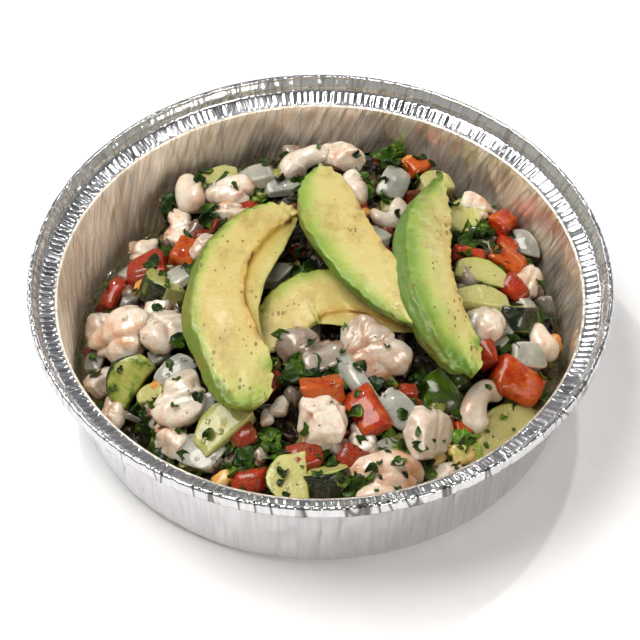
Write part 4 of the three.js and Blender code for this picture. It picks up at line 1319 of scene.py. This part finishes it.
def finely(corners, count, passes):
    """The closed line through the corners in count points, softened a few times."""
    closed = np.vstack([corners, corners[:1]])
    along = np.linspace(0, len(corners), count, endpoint=False)
    line = np.stack([np.interp(along, range(len(closed)), closed[:, k]) for k in (0, 1)], axis=1)
    for _ in range(passes):
        line = 0.5 * line + 0.25 * (np.roll(line, 1, axis=0) + np.roll(line, -1, axis=0))
    return line, along


def avocado_slice(index, sizes):
    route = [np.array(point, dtype=float) for point in sizes["route"]]
    tilt = math.radians(sizes["roll"])
    rows, rind, pit, length = [], [], [], []
    stations = 0.5 - 0.5 * np.cos(np.pi * (np.arange(1, SLICE_STATIONS) / SLICE_STATIONS))
    stations = 0.6 * stations + 0.4 * np.arange(1, SLICE_STATIONS) / SLICE_STATIONS
    for along in stations:
        centre = route_point(route, along)
        forward = route_point(route, min(along + 1e-3, 1)) - route_point(route, max(along - 1e-3, 0))
        forward /= np.linalg.norm(forward)
        right = np.array([forward[1], -forward[0], 0.0])
        right /= np.linalg.norm(right)
        above = np.cross(right, forward)
        outward = right * math.cos(tilt) + above * math.sin(tilt)
        normal = above * math.cos(tilt) - right * math.sin(tilt)
        end = abs(2 * along - 1)
        full = max(0.0, 1 - end ** 2.3) ** sizes["ends"][0 if along < 0.5 else 1]
        bay = max(0.0, 1 - ((along - sizes["pit_at"]) / sizes["pit_reach"]) ** 2) * sizes["pit_depth"]
        half = sizes["width"] / 2 * full
        depth = sizes["thickness"] * math.sqrt(max(0.0, 1 - end ** 4))
        corners = slice_section(half, sizes["width"], depth, full, bay,
                                sizes["undercut"], sizes["shoulder"])
        line, place_on_line = finely(corners, SLICE_SIDES, 3)
        rows.append(centre + np.outer(line[:, 0], outward) + np.outer(line[:, 1], normal))
        on_top = (place_on_line > 8.0) | (place_on_line < 0.2)
        to_rim = np.clip(line[:, 0] / max(half, 0.1), -1, 1)
        outer_side = (place_on_line >= 0.1) & (place_on_line <= 3.6)
        flesh_side = smooth_step(sizes["rim_from"], 1.0, to_rim / (1 - 2 * sizes["shoulder"])) * 0.72
        flesh_side += sizes["tips"][0 if along < 0.5 else 1] * end ** 6
        rind.append(np.where(outer_side, 1.0, np.where(on_top, flesh_side, 0.25)))
        near_pit = smooth_step(6.2, 7.2, place_on_line) * (1 - smooth_step(7.9, 8.5, place_on_line))
        pit.append(near_pit * min(1.0, bay / 2.0))
        length.append(np.full(SLICE_SIDES, along))
    first, final = route_point(route, 0.0), route_point(route, 1.0)
    tip_drop = np.array([0, 0, -sizes["thickness"] / 3])
    points = np.concatenate([[first + tip_drop], *rows, [final + tip_drop]])
    seed = 40 + index * 5
    scoops = wobble(points, 16.0, seed) * 0.4 + wobble(points, 5.0, seed + 1) * 0.16
    # The rims and the ends are ragged, where the spoon or the knife tore the soft flesh.
    on_line = np.tile(place_on_line, len(rows))
    at_rim = (np.exp(-(np.minimum(on_line, 10 - on_line) / 0.5) ** 2)
              + np.exp(-((on_line - 8) / 0.5) ** 2))
    at_end = np.abs(2 * np.concatenate(length) - 1) ** 8
    torn = np.concatenate([[0], 0.3 * at_rim + 0.6 * at_end, [0]])
    scoops += torn * (wobble(points, 2.4, seed + 2) + np.abs(wobble(points, 4.5, seed + 3)) - 0.4)
    # Where the stone was pulled out, the ridge of the hollow is nicked and brown.
    nick = np.exp(-((on_line - 7.7) / 0.35) ** 2) * (np.concatenate(pit) > 0.3)
    nick = np.concatenate([[0], nick, [0]]) * smooth_step(0.2, 0.55, wobble(points, 7.0, seed + 4))
    # A torn nub of green flesh hangs on at one place of the inner edge.
    nub_at, nub_reach = sizes["nub"]
    nub = np.exp(-((np.concatenate(length) - nub_at) / 0.035) ** 2 - ((on_line - 7.7) / 0.8) ** 2)
    nub = np.concatenate([[0], nub, [0]])
    scoops += nub * nub_reach * (1 + 0.5 * wobble(points, 2.0, seed + 4))
    row_middles = np.repeat([row.mean(axis=0) for row in rows], SLICE_SIDES, axis=0)
    middle = np.concatenate([[points[0]], row_middles, [points[-1]]])
    away = points - middle
    away /= np.maximum(np.linalg.norm(away, axis=1), 1e-6)[:, None]
    points = points + away * scoops[:, None]
    faces = grid_faces(len(rows), SLICE_SIDES)
    tips = np.array([0.5])
    return make_object(f"avocado_wedge_{index + 1}", points, faces, {
        "rind": np.maximum(np.concatenate([tips, *rind, tips]), 0.9 * nub),
        "pit": np.concatenate([tips * 0, *pit, tips * 0]),
        "along": np.concatenate([[0.0], *length, [1.0]]), "nick": nick,
        "green": np.full(len(points), sizes["green"]), "gold": np.full(len(points), sizes["gold"]),
        "dim": np.full(len(points), sizes["dim"]),
    })


# %% [markdown]
# Ripe avocado flesh goes from yellow at the stone to green under the skin, with no clear
# line. Light sinks into it a little, it has a soft sheen, and where it is bruised or cut it
# shows small brown spots and fine lines along the fruit. The colour follows how near a
# point is to the rind, which each wedge carries as a value.

# %% Material: ripe avocado flesh
material, tree, shader, place = new_material("avocado_flesh_ripe")
WEDGE_VALUES = ("rind", "pit", "green", "gold", "nick", "dim")
value = {key: add(tree, ATTRIBUTE, attribute_name=key, output="Fac") for key in WEDGE_VALUES}
blotch = add(tree, NOISE, {"Vector": place, "Scale": 1 / 0.009, "Detail": 3.0})
blotch_shift = add(tree, RANGE, {
    "Value": blotch, "From Min": 0.3, "From Max": 0.7, "To Min": -0.08, "To Max": 0.08}, output="Result")
near_rind = add(tree, MATH, (value["rind"], blotch_shift), operation="ADD")
greener = add(tree, MATH, (value["green"], 0.55, near_rind), operation="MULTIPLY_ADD")
FLESH_STOPS = [
    (0.05, "#c6b573"), (0.22, "#c1b873"), (0.45, "#b2b567"), (0.68, "#93a64c"),
    (0.86, "#728f36"), (1.0, "#5a7829"),
]
flesh = add(tree, RAMP, {"Fac": greener}, stops=FLESH_STOPS)
own_gold = add(tree, MATH, (value["gold"], 0.16), operation="MULTIPLY")
golden = add(tree, MATH, (value["pit"], 0.6, own_gold), operation="MULTIPLY_ADD")
warm = add(tree, MIX, {"Factor_Float": golden, "A_Color": flesh, "B_Color": linear("#c08d30")},
           data_type="RGBA", output="Result_Color")
drawn_out = add(tree, VECTOR, (place, (1.0, 0.6, 1.0)), operation="MULTIPLY")
spot_cells = {"Vector": drawn_out, "Scale": 1 / 0.0016, "Randomness": 1.0}
spots = add(tree, CELLS, spot_cells, output="Distance")
spot_size = add(tree, NOISE, {"Vector": place, "Scale": 1 / 0.012, "Detail": 1.0})
spot_edge = add(tree, RANGE, {
    "Value": spot_size, "From Min": 0.42, "From Max": 0.66, "To Min": 0.0, "To Max": 0.40,
}, output="Result")
spot_lot = add(tree, CELLS, spot_cells, output="Color")
spot_share = add(tree, SPLIT, {"Vector": spot_lot}, output="X")
own_edge = add(tree, MATH, (spot_edge, spot_share), operation="MULTIPLY")
in_spot = add(tree, MATH, (spots, own_edge), operation="LESS_THAN")
marked = add(tree, MATH, (in_spot, 0.75), operation="MULTIPLY")
spotted = add(tree, MATH, (marked, value["nick"]), operation="MAXIMUM")
brown = add(tree, MIX, {"Factor_Float": spotted, "A_Color": warm, "B_Color": linear("#6e4a1c")},
            data_type="RGBA", output="Result_Color")
bruise = add(tree, NOISE, {"Vector": drawn_out, "Scale": 1 / 0.010, "Detail": 7.0, "Roughness": 0.72})
bruised = add(tree, RANGE, {
    "Value": bruise, "From Min": 0.50, "From Max": 0.72, "To Min": 0.0, "To Max": 0.75,
}, output="Result")
worn = add(tree, MIX, {"Factor_Float": bruised, "A_Color": brown, "B_Color": linear("#95773a")},
           data_type="RGBA", output="Result_Color")
# Painted shade: a value on each slice mixes its colour towards a dull yellow, to tone down the slices
# that stand most in the light.
final = add(tree, MIX, {"Factor_Float": value["dim"], "A_Color": worn, "B_Color": linear("#9a8432")},
            data_type="RGBA", output="Result_Color")
butter = add(tree, NOISE, {"Vector": place, "Scale": 1 / 0.0018, "Detail": 3.0})
strands = add(tree, VECTOR, (place, (0.3, 1.0, 1.0)), operation="MULTIPLY")
fibre = add(tree, NOISE, {"Vector": strands, "Scale": 1 / 0.0016, "Detail": 2.0})
smear = add(tree, BUMP, {"Height": fibre, "Strength": 0.3, "Distance": 0.0006})
relief = add(tree, BUMP, {"Height": butter, "Normal": smear, "Strength": 0.5, "Distance": 0.0005})
shine = add(tree, RANGE, {
    "Value": blotch, "From Min": 0.3, "From Max": 0.7, "To Min": 0.26, "To Max": 0.46,
}, output="Result")
set_shader(
    tree, shader, Base_Color=final, Roughness=shine, IOR=1.42, Normal=relief,
    Subsurface_Weight=0.25, Subsurface_Radius=(1.0, 0.75, 0.2), Subsurface_Scale=0.002,
)
for index, sizes in enumerate(AVOCADOS):
    wedge = avocado_slice(index, sizes)
    wedge.data.materials.append(material)
    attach(wedge, "root")
    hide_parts(f"avocado_slice_{index + 1}")
print("avocado wedges:", len(AVOCADOS))

# %% [markdown]
# What fills the heap between the bigger pieces is the same food cut small, and chopped
# coriander clings to all of it. Such things are scattered with Geometry Nodes: points are
# spread over a disc above the heap, a ray from each falls onto what lies below, and a
# shape is set down where it lands, if no avocado is in the way. A noise thins the points
# out in places, because herbs gather in clumps.

# %% Geometry Nodes: sprinkle
sprinkle = bpy.data.node_groups.new("sprinkle", "GeometryNodeTree")
face = sprinkle.interface
face.new_socket("Geometry", in_out="INPUT", socket_type="NodeSocketGeometry")
face.new_socket("Geometry", in_out="OUTPUT", socket_type="NodeSocketGeometry")
for key in ("Onto", "Under", "Shapes"):
    face.new_socket(key, in_out="INPUT", socket_type="NodeSocketCollection")
SPRINKLE_FLOATS = (
    "Spacing", "Clump size", "Clump bias", "Smallest", "Largest", "Lift", "Follow", "Tumble",
    "From", "To",
)
for key in SPRINKLE_FLOATS:
    face.new_socket(key, in_out="INPUT", socket_type="NodeSocketFloat")
for key in ("Seed", "Kinds"):
    face.new_socket(key, in_out="INPUT", socket_type="NodeSocketInt")
face.new_socket("Material", in_out="INPUT", socket_type="NodeSocketMaterial")
tree = sprinkle
given = add(tree, "NodeGroupInput", output=None).outputs
here = add(tree, "GeometryNodeInputPosition")


def ray_down(tree, here, collection):
    """Where a ray straight down meets the collection's pieces."""
    pieces = add(tree, "GeometryNodeCollectionInfo", {"Collection": collection})
    whole = add(tree, "GeometryNodeRealizeInstances", {"Geometry": pieces})
    return add(tree, "GeometryNodeRaycast", {
        "Target Geometry": whole, "Source Position": here,
        "Ray Direction": (0.0, 0.0, -1.0), "Ray Length": 0.2,
    }, output=None).outputs


clump_scale = add(tree, MATH, (1.0, given["Clump size"]), operation="DIVIDE")
clump = add(tree, NOISE, {"Vector": here, "Scale": clump_scale, "Detail": 1.0})
spread = add(tree, RANGE, {
    "Value": clump, "From Min": given["Clump bias"],
    "From Max": add(tree, MATH, (given["Clump bias"], 0.12), operation="ADD"),
}, output="Result")
dots = add(tree, "GeometryNodeDistributePointsOnFaces", {
    "Mesh": given["Geometry"], "Distance Min": given["Spacing"], "Density Max": 4e6,
    "Density Factor": spread, "Seed": given["Seed"],
}, distribute_method="POISSON")
landing = ray_down(tree, here, given["Onto"])
cover = ray_down(tree, here, given["Under"])
nearer = add(tree, "FunctionNodeCompare", {"A": cover["Hit Distance"], "B": landing["Hit Distance"]},
             data_type="FLOAT", operation="LESS_THAN")
covered = add(tree, "FunctionNodeBooleanMath", (cover["Is Hit"], nearer), operation="AND")
open_sky = add(tree, "FunctionNodeBooleanMath", (covered,), operation="NOT")
clear = add(tree, "FunctionNodeBooleanMath", (landing["Is Hit"], open_sky), operation="AND")
lot = add(tree, "FunctionNodeRandomValue", {"Seed": 77}, output="Value_001")
above = add(tree, "FunctionNodeCompare", {"A": lot, "B": given["From"]},
            data_type="FLOAT", operation="GREATER_EQUAL")
below = add(tree, "FunctionNodeCompare", {"A": lot, "B": given["To"]},
            data_type="FLOAT", operation="LESS_THAN")
drawn = add(tree, "FunctionNodeBooleanMath", (above, below), operation="AND")
chosen = add(tree, "FunctionNodeBooleanMath", (clear, drawn), operation="AND")
ONE_TURN = 6.283
spin = add(tree, "FunctionNodeRandomValue", {
    "Min": (0.0, 0.0, 0.0), "Max": (0.0, 0.0, ONE_TURN), "Seed": 1,
}, data_type="FLOAT_VECTOR", output="Value")
upright = add(tree, "FunctionNodeAlignRotationToVector", {
    "Rotation": add(tree, "FunctionNodeEulerToRotation", (spin,)),
    "Factor": given["Follow"], "Vector": landing["Hit Normal"]}, axis="Z")
tumble = add(tree, "FunctionNodeRandomValue", {
    "Min": (-1.0, -1.0, -1.0), "Max": (1.0, 1.0, 1.0), "Seed": 2,
}, data_type="FLOAT_VECTOR", output="Value")
tumbled = add(tree, VECTOR, {"Vector": tumble, "Scale": given["Tumble"]}, operation="SCALE")
turned = add(tree, "FunctionNodeRotateRotation", {
    "Rotation": upright, "Rotate By": add(tree, "FunctionNodeEulerToRotation", (tumbled,))},
    rotation_space="LOCAL")
size = add(tree, "FunctionNodeRandomValue", {
    "Min_001": given["Smallest"], "Max_001": given["Largest"], "Seed": 3}, output="Value_001")
kind = add(tree, "FunctionNodeRandomValue", {
    "Min_002": 0, "Max_002": given["Kinds"], "Seed": 4}, data_type="INT", output="Value_002")
shapes = add(tree, "GeometryNodeCollectionInfo", {
    "Collection": given["Shapes"], "Separate Children": True, "Reset Children": True})
laid = add(tree, "GeometryNodeInstanceOnPoints", {
    "Points": dots, "Selection": chosen, "Instance": shapes, "Pick Instance": True,
    "Instance Index": kind, "Rotation": turned, "Scale": size})
lift = add(tree, VECTOR, {"Vector": landing["Hit Normal"], "Scale": given["Lift"]}, operation="SCALE")
place = add(tree, VECTOR, (landing["Hit Position"], lift), operation="ADD")
dull = add(tree, "FunctionNodeRandomValue", {
    "Min_001": 0.0, "Max_001": 0.4, "Seed": 6,
}, output="Value_001")
toned = add(tree, "GeometryNodeStoreNamedAttribute", {
    "Geometry": laid, "Name": "tone", "Value": dull,
}, data_type="FLOAT", domain="INSTANCE")
lowered = add(tree, "GeometryNodeSetPosition", {"Geometry": toned, "Position": place})
solid = add(tree, "GeometryNodeRealizeInstances", {"Geometry": lowered})
finished = add(tree, "GeometryNodeSetMaterial", {"Geometry": solid, "Material": given["Material"]})
add(tree, "NodeGroupOutput", {"Geometry": finished}, output=None)


def gather(name, objects):
    """A collection of objects for the nodes to read; it isn't part of the scene."""
    collection = bpy.data.collections.new(name)
    for item in objects:
        collection.objects.link(item)
    return collection


WEDGES = [bpy.data.objects[f"avocado_wedge_{n}"] for n in (1, 2, 3, 4)]
AVOCADO_WEDGES = gather("avocado_cover", WEDGES)


SPRINKLE_REACH = 77.0
SPRINKLE_HEIGHT = 70.0
SPRINKLE_SIDES = 48


def scatter(name, shapes, onto, seed, spacing, sizes, lift, material, reach=SPRINKLE_REACH,
            follow=0.0, tumble=3.0, clumps=(20.0, -1.0), part=(0.0, 1.0),
            under=AVOCADO_WEDGES):
    """Sprinkles copies of the shapes over the pieces in onto, as one plain mesh."""
    turns = np.arange(SPRINKLE_SIDES) * 2 * np.pi / SPRINKLE_SIDES
    disc = np.stack([reach * np.cos(turns), reach * np.sin(turns),
                     np.full(SPRINKLE_SIDES, SPRINKLE_HEIGHT)], axis=1)
    made = make_object(name, disc, [tuple(range(SPRINKLE_SIDES))])
    kinds = gather(name + "_shapes", shapes)
    run_nodes(made, sprinkle, {
        "Onto": onto, "Under": under, "Shapes": kinds, "Spacing": spacing * MM,
        "Clump size": clumps[0] * MM, "Clump bias": clumps[1], "Smallest": sizes[0],
        "Largest": sizes[1], "Lift": lift * MM, "Follow": follow, "Tumble": tumble,
        "From": part[0], "To": part[1], "Seed": seed, "Kinds": len(shapes) - 1, "Material": material,
    })
    keep_inside(made.data)
    made.data.shade_smooth()
    for shape in shapes:
        bpy.data.objects.remove(shape)
    bpy.data.collections.remove(kinds)
    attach(made, "root")
    print(f"{name}: {len(made.data.polygons)} faces")


# %% [markdown]
# The small cuts are three or four shapes of each kind, a few dozen faces each, on one set
# of points. Each kind takes its own share of the points, so that they don't pile up on
# one another.

# %% Small cuts between the pieces
def small_shapes(name, sizes, seed, values, cells=3, rounding=0.15):
    shapes = []
    for k, size in enumerate(sizes):
        points, faces, _ = rough_block(size, rounding * min(size), cells, seed + 3 * k, 0.45)
        steady = {key: np.full(len(points), value) for key, value in values.items()}
        shapes.append(make_object(f"{name}_{k}", points, faces, steady))
    return shapes


HEAP = gather("heap_surface", [core, juice])
CUT_SPACING = 5.4
CUT_REACH = 71.0
# The small cuts lie low between the pieces, so they carry a high shade value: painted shade.
crumbs = []
for k, length in enumerate((9, 11, 8, 10)):
    points, faces, warm = shrimp_chunk(length, 700 + 9 * k, 6, 4)
    values = {"warm": warm * 0.8, "shade": np.full(len(points), 0.65)}
    crumbs.append(make_object(f"crumb_{k}", points, faces, values))
scatter("shrimp_crumbs", crumbs, HEAP, 12, CUT_SPACING,
        (0.7, 1.15), 0.9, SHRIMP_MATERIAL, CUT_REACH, part=(0.0, 0.15))
# Kind, sizes of its shapes, seed, their values, range of scale, lift, material, its points.
SMALL_CUTS = [
    ("onion", [(8, 6, 2.4), (7, 5, 2.6), (9, 4, 2.0)], 730, {"edge": 0.4, "shade": 0.6},
     (0.7, 1.2), 1.0, ONION_MATERIAL, (0.22, 0.35)),
    ("tomato", [(7, 5, 3.5), (8, 4.5, 3), (5, 5, 3)], 750, {"red": 0.4, "shade": 0.45},
     (0.6, 1.15), 0.8, TOMATO_MATERIAL, (0.4, 0.62)),
    ("cucumber", [(8, 6, 3.5), (7, 5, 3), (9, 4, 3)], 770, {"rind": 0.4, "shade": 0.45},
     (0.6, 1.15), 0.8, CUCUMBER_MATERIAL, (0.62, 0.8)),
]
for kind, forms, seed, values, sizes, lift, material, part in SMALL_CUTS:
    shapes = small_shapes(f"{kind}_bit", forms, seed, values)
    scatter(f"{kind}_cuts", shapes, HEAP, 12, CUT_SPACING, sizes, lift, material, CUT_REACH,
            part=part, tumble=1.2)

# %% [markdown]
# Chopped coriander is bits of a thin lobed leaf, torn, curled and wet, and dark green
# where it is folded. Each shape is a small lobed disc bent in two ways, closed on both
# sides, and there are a few of them in different cuts.

# %% Coriander leaves
def leaf_form(length, seed, sides=14, thickness=0.26):
    """A torn bit of leaf as a closed thin solid, lying flat at the origin."""
    draw = np.random.default_rng(seed)
    around = np.arange(sides) * 2 * np.pi / sides
    # The outline is a polygon with four or five torn sides and a notch.
    torn = np.arange(draw.integers(4, 6))
    sides_at = 2 * np.pi * (torn + draw.uniform(-0.3, 0.3, len(torn))) / len(torn)
    distance = draw.uniform(0.32, 0.5, len(torn)) * length
    slant = np.cos(around[:, None] - sides_at[None, :])
    edge = np.min(np.where(slant > 0.2, distance / np.maximum(slant, 0.2), 9 * length), axis=1)
    edge = np.minimum(edge, 0.62 * length)
    notch = np.exp(-(np.angle(np.exp(1j * (around - draw.uniform(0, 6)))) / 0.3) ** 2)
    edge = edge * (1 - 0.5 * notch)
    narrow = draw.uniform(0.55, 1.0)
    rows = [np.stack([edge * share * np.cos(around), edge * share * np.sin(around) * narrow,
                      np.zeros(sides)], axis=1) for share in (0.45, 0.8, 1.0)]
    flat = np.vstack([[0, 0, 0], *rows])
    fold = draw.uniform(-0.3, 1.1)
    line = flat[:, 1] * math.cos(0.4) + flat[:, 0] * math.sin(draw.uniform(-0.5, 0.5))
    flat[:, 2] = (fold * np.abs(line) + 0.15 * length * wobble(flat, 0.7 * length, seed + 1)
                  - draw.uniform(0, 0.9) * flat[:, 0] ** 2 / length)
    top, bottom = flat + [0, 0, thickness / 2], flat - [0, 0, thickness / 2]

    def ring(base, row):
        return [base + 1 + row * sides + i for i in range(sides)]

    faces = []
    for base, below in ((0, False), (len(flat), True)):
        inner = ring(base, 0)
        parts = [(base, inner[i], inner[(i + 1) % sides]) for i in range(sides)]
        for row in (0, 1):
            near, far = ring(base, row), ring(base, row + 1)
            for i in range(sides):
                j = (i + 1) % sides
                parts += [(near[i], far[i], far[j]), (near[i], far[j], near[j])]
        faces += [part[::-1] for part in parts] if below else parts
    upper, lower = ring(0, 2), ring(len(flat), 2)
    for i in range(sides):
        j = (i + 1) % sides
        faces += [(upper[i], lower[i], lower[j]), (upper[i], lower[j], upper[j])]
    return np.vstack([top, bottom]), faces


material, tree, shader, place = new_material("coriander_leaf_chopped")
vein = add(tree, NOISE, {"Vector": place, "Scale": 1 / 0.0011, "Detail": 3.0})
patch = add(tree, NOISE, {"Vector": place, "Scale": 1 / 0.007, "Detail": 2.0})
mixed = add(tree, MATH, (vein, 0.35, patch), operation="MULTIPLY_ADD")
LEAF_STOPS = [(0.42, "#0b1403"), (0.62, "#1a2e05"), (0.78, "#385410"), (0.92, "#748c30")]
leaf_tone = add(tree, RAMP, {"Fac": mixed}, stops=LEAF_STOPS)
relief = add(tree, BUMP, {"Height": vein, "Strength": 0.6, "Distance": 0.00025})
set_shader(
    tree, shader, Base_Color=leaf_tone, Roughness=0.36, Specular_IOR_Level=0.15, Normal=relief,
    Subsurface_Weight=0.1, Subsurface_Radius=(0.3, 0.8, 0.15), Subsurface_Scale=0.0008,
    Coat_Weight=0.2, Coat_Roughness=0.06, Coat_IOR=1.34,
)
LEAF_MATERIAL = material

LAID_PIECES = gather("laid_pieces", [
    core, juice, shrimp, tomato, cucumber, onion, chilli, kernels,
    *[bpy.data.objects[n] for n in ("shrimp_crumbs", "onion_cuts", "tomato_cuts", "cucumber_cuts")],
])
# Middle x and y, how wide the clump is, how many bits, and how far it stands up.
CLUMPS = [
    (-5, -28, 17, 17, 0.5), (3, -27, 9, 9, 0.5), (48, 36, 15, 14, 2), (-50, -33, 11, 11, 1),
    (24, 68, 10, 8, 0), (-26, -53, 11, 10, 0.5), (8, -59, 12, 10, 0.5), (31, -53, 9, 6, 2.5),
    (-47, -45, 9, 7, 0.5), (57, -10, 11, 10, 1), (66, 5, 9, 7, 1), (19, -34, 12, 8, 0.5),
    (-33, 40, 10, 8, 1.5), (-51, 49, 7, 4, 3), (-9, 59, 8, 5, 1.5), (14, -61, 10, 8, 1),
    (-37, 22, 9, 8, 1), (53, -4, 9, 7, 0.5), (26, -54, 7, 4, 2), (70, -22, 10, 8, 0),
    (-4, 15, 12, 9, -1), (18, 50, 8, 7, 0.5), (48, -40, 8, 5, 1), (-62, 5, 8, 4, 1),
    (-20, -66, 9, 6, 0), (2, -43, 7, 3, 3.5), (32, -42, 6, 3, 3), (38, 28, 10, 8, 0),
    (-30, -33, 8, 5, 2), (44, -35, 6, 3, 2), (-40, -54, 8, 6, 0), (58, 24, 7, 4, 1),
    (-39, -15, 10, 9, -0.5), (-55, -27, 10, 8, -0.5), (-14, -52, 12, 10, -0.5), (20, -47, 10, 8, -0.5),
    (3, -50, 10, 8, -0.5), (62, -2, 9, 7, -0.5), (-48, 34, 9, 7, -0.5), (-22, 50, 9, 7, -0.5),
    (-4, 50, 9, 6, -0.5), (40, -50, 8, 6, -0.5), (-64, 14, 8, 5, -0.5), (-32, -62, 9, 6, -0.5),
    (-12, -22, 10, 8, -1), (30, -24, 9, 7, -1), (54, 10, 9, 6, -0.5), (-40, 8, 9, 6, -0.5),
    (-6, -28, 13, 14, 3), (47, 33, 11, 10, 2.5), (-47, -38, 9, 8, 1), (38, -63, 9, 7, 0),
]
pile = Pile()
for i, (x, y, wide, count, lift) in enumerate(CLUMPS):
    draw = np.random.default_rng(1200 + i)
    for k in range(count):
        away, bearing = 0.5 * wide * math.sqrt(draw.uniform()), draw.uniform(0, 2 * math.pi)
        at_x, at_y = x + away * math.cos(bearing), y + away * math.sin(bearing)
        points, faces = leaf_form(draw.uniform(3.0, 9.0), 1300 + 40 * i + k)
        height = salad_height(at_x, at_y) + lift + draw.uniform(0.2, 2.2)
        tilt = tuple(draw.uniform(-0.5, 0.5, 2))
        points = lay(points, at_x, at_y, height, draw.uniform(0, 360), draw.uniform(-35, 35), tilt)
        pile.put(points, faces, {})
clumps = pile.build("coriander_clumps")
finish(clumps, LEAF_MATERIAL)
LAID_PIECES.objects.link(clumps)

flecks = [make_object(f"fleck_{k}", *leaf_form(3.0, 800 + 7 * k, 9, 0.2)) for k in range(6)]
scatter("coriander_flecks", flecks, LAID_PIECES, 5, 3.8, (0.25, 1.2), 0.2, LEAF_MATERIAL, 74.0,
        follow=0.9, tumble=0.5, clumps=(11.0, 0.545))
torn_leaves = [make_object(f"torn_{k}", *leaf_form(5.5, 860 + 7 * k, 14, 0.24)) for k in range(6)]
scatter("coriander_leaves", torn_leaves, LAID_PIECES, 8, 7.0, (0.5, 1.3), 0.5, LEAF_MATERIAL, 72.0,
        follow=0.8, tumble=0.8, clumps=(16.0, 0.42))

# %% [markdown]
# Ground black pepper is the last thing on a ceviche: grains under a millimetre across.
# A few drops of juice stand on the pieces and give the small sharp glints of wet food.

# %% Pepper and drops
def pebble(name, length, seed, flat=1.0):
    size = (length, length * 0.8, length * 0.7 * flat)
    points, faces, _ = rough_block(size, 0.3 * length * flat, 2, seed, 0.2)
    return make_object(name, points, faces)


material, tree, shader, place = new_material("black_pepper_ground")
crack = add(tree, NOISE, {"Vector": place, "Scale": 1 / 0.0003, "Detail": 2.0})
husk = add(tree, RAMP, {"Fac": crack}, stops=[(0.35, "#15100c"), (0.65, "#3a2c22")])
set_shader(tree, shader, Base_Color=husk, Roughness=0.7)
grains = [pebble(f"grain_{k}", 0.7, 860 + 3 * k) for k in range(3)]
scatter("pepper_grains", grains, LAID_PIECES, 21, 7.0, (0.3, 1.0), 0.1, material,
        reach=66.0, clumps=(7.0, 0.50))

material, tree, shader, place = new_material("juice_drop_clear")
ripple = add(tree, NOISE, {"Vector": place, "Scale": 1 / 0.004, "Detail": 1.0})
drop_tint = add(tree, RAMP, {"Fac": ripple}, stops=[(0.3, "#fbf8ec"), (0.7, "#ffffff")])
set_shader(tree, shader, Base_Color=drop_tint, Roughness=0.02, IOR=1.34, Transmission_Weight=1.0)
drops = [pebble(f"drop_{k}", 1.6, 880 + 3 * k, 0.45) for k in range(3)]
scatter("juice_drops", drops, LAID_PIECES, 31, 4.6, (0.4, 1.3), 0.15, material,
        follow=1.0, tumble=0.0, clumps=(12.0, 0.52))
for collection in (HEAP, LAID_PIECES, AVOCADO_WEDGES):
    bpy.data.collections.remove(collection)

# %% Finish
size = {"cad": [list(v) for v in CAD_BOX], "visual": [list(v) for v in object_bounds()]}
print("visual box", size["visual"])
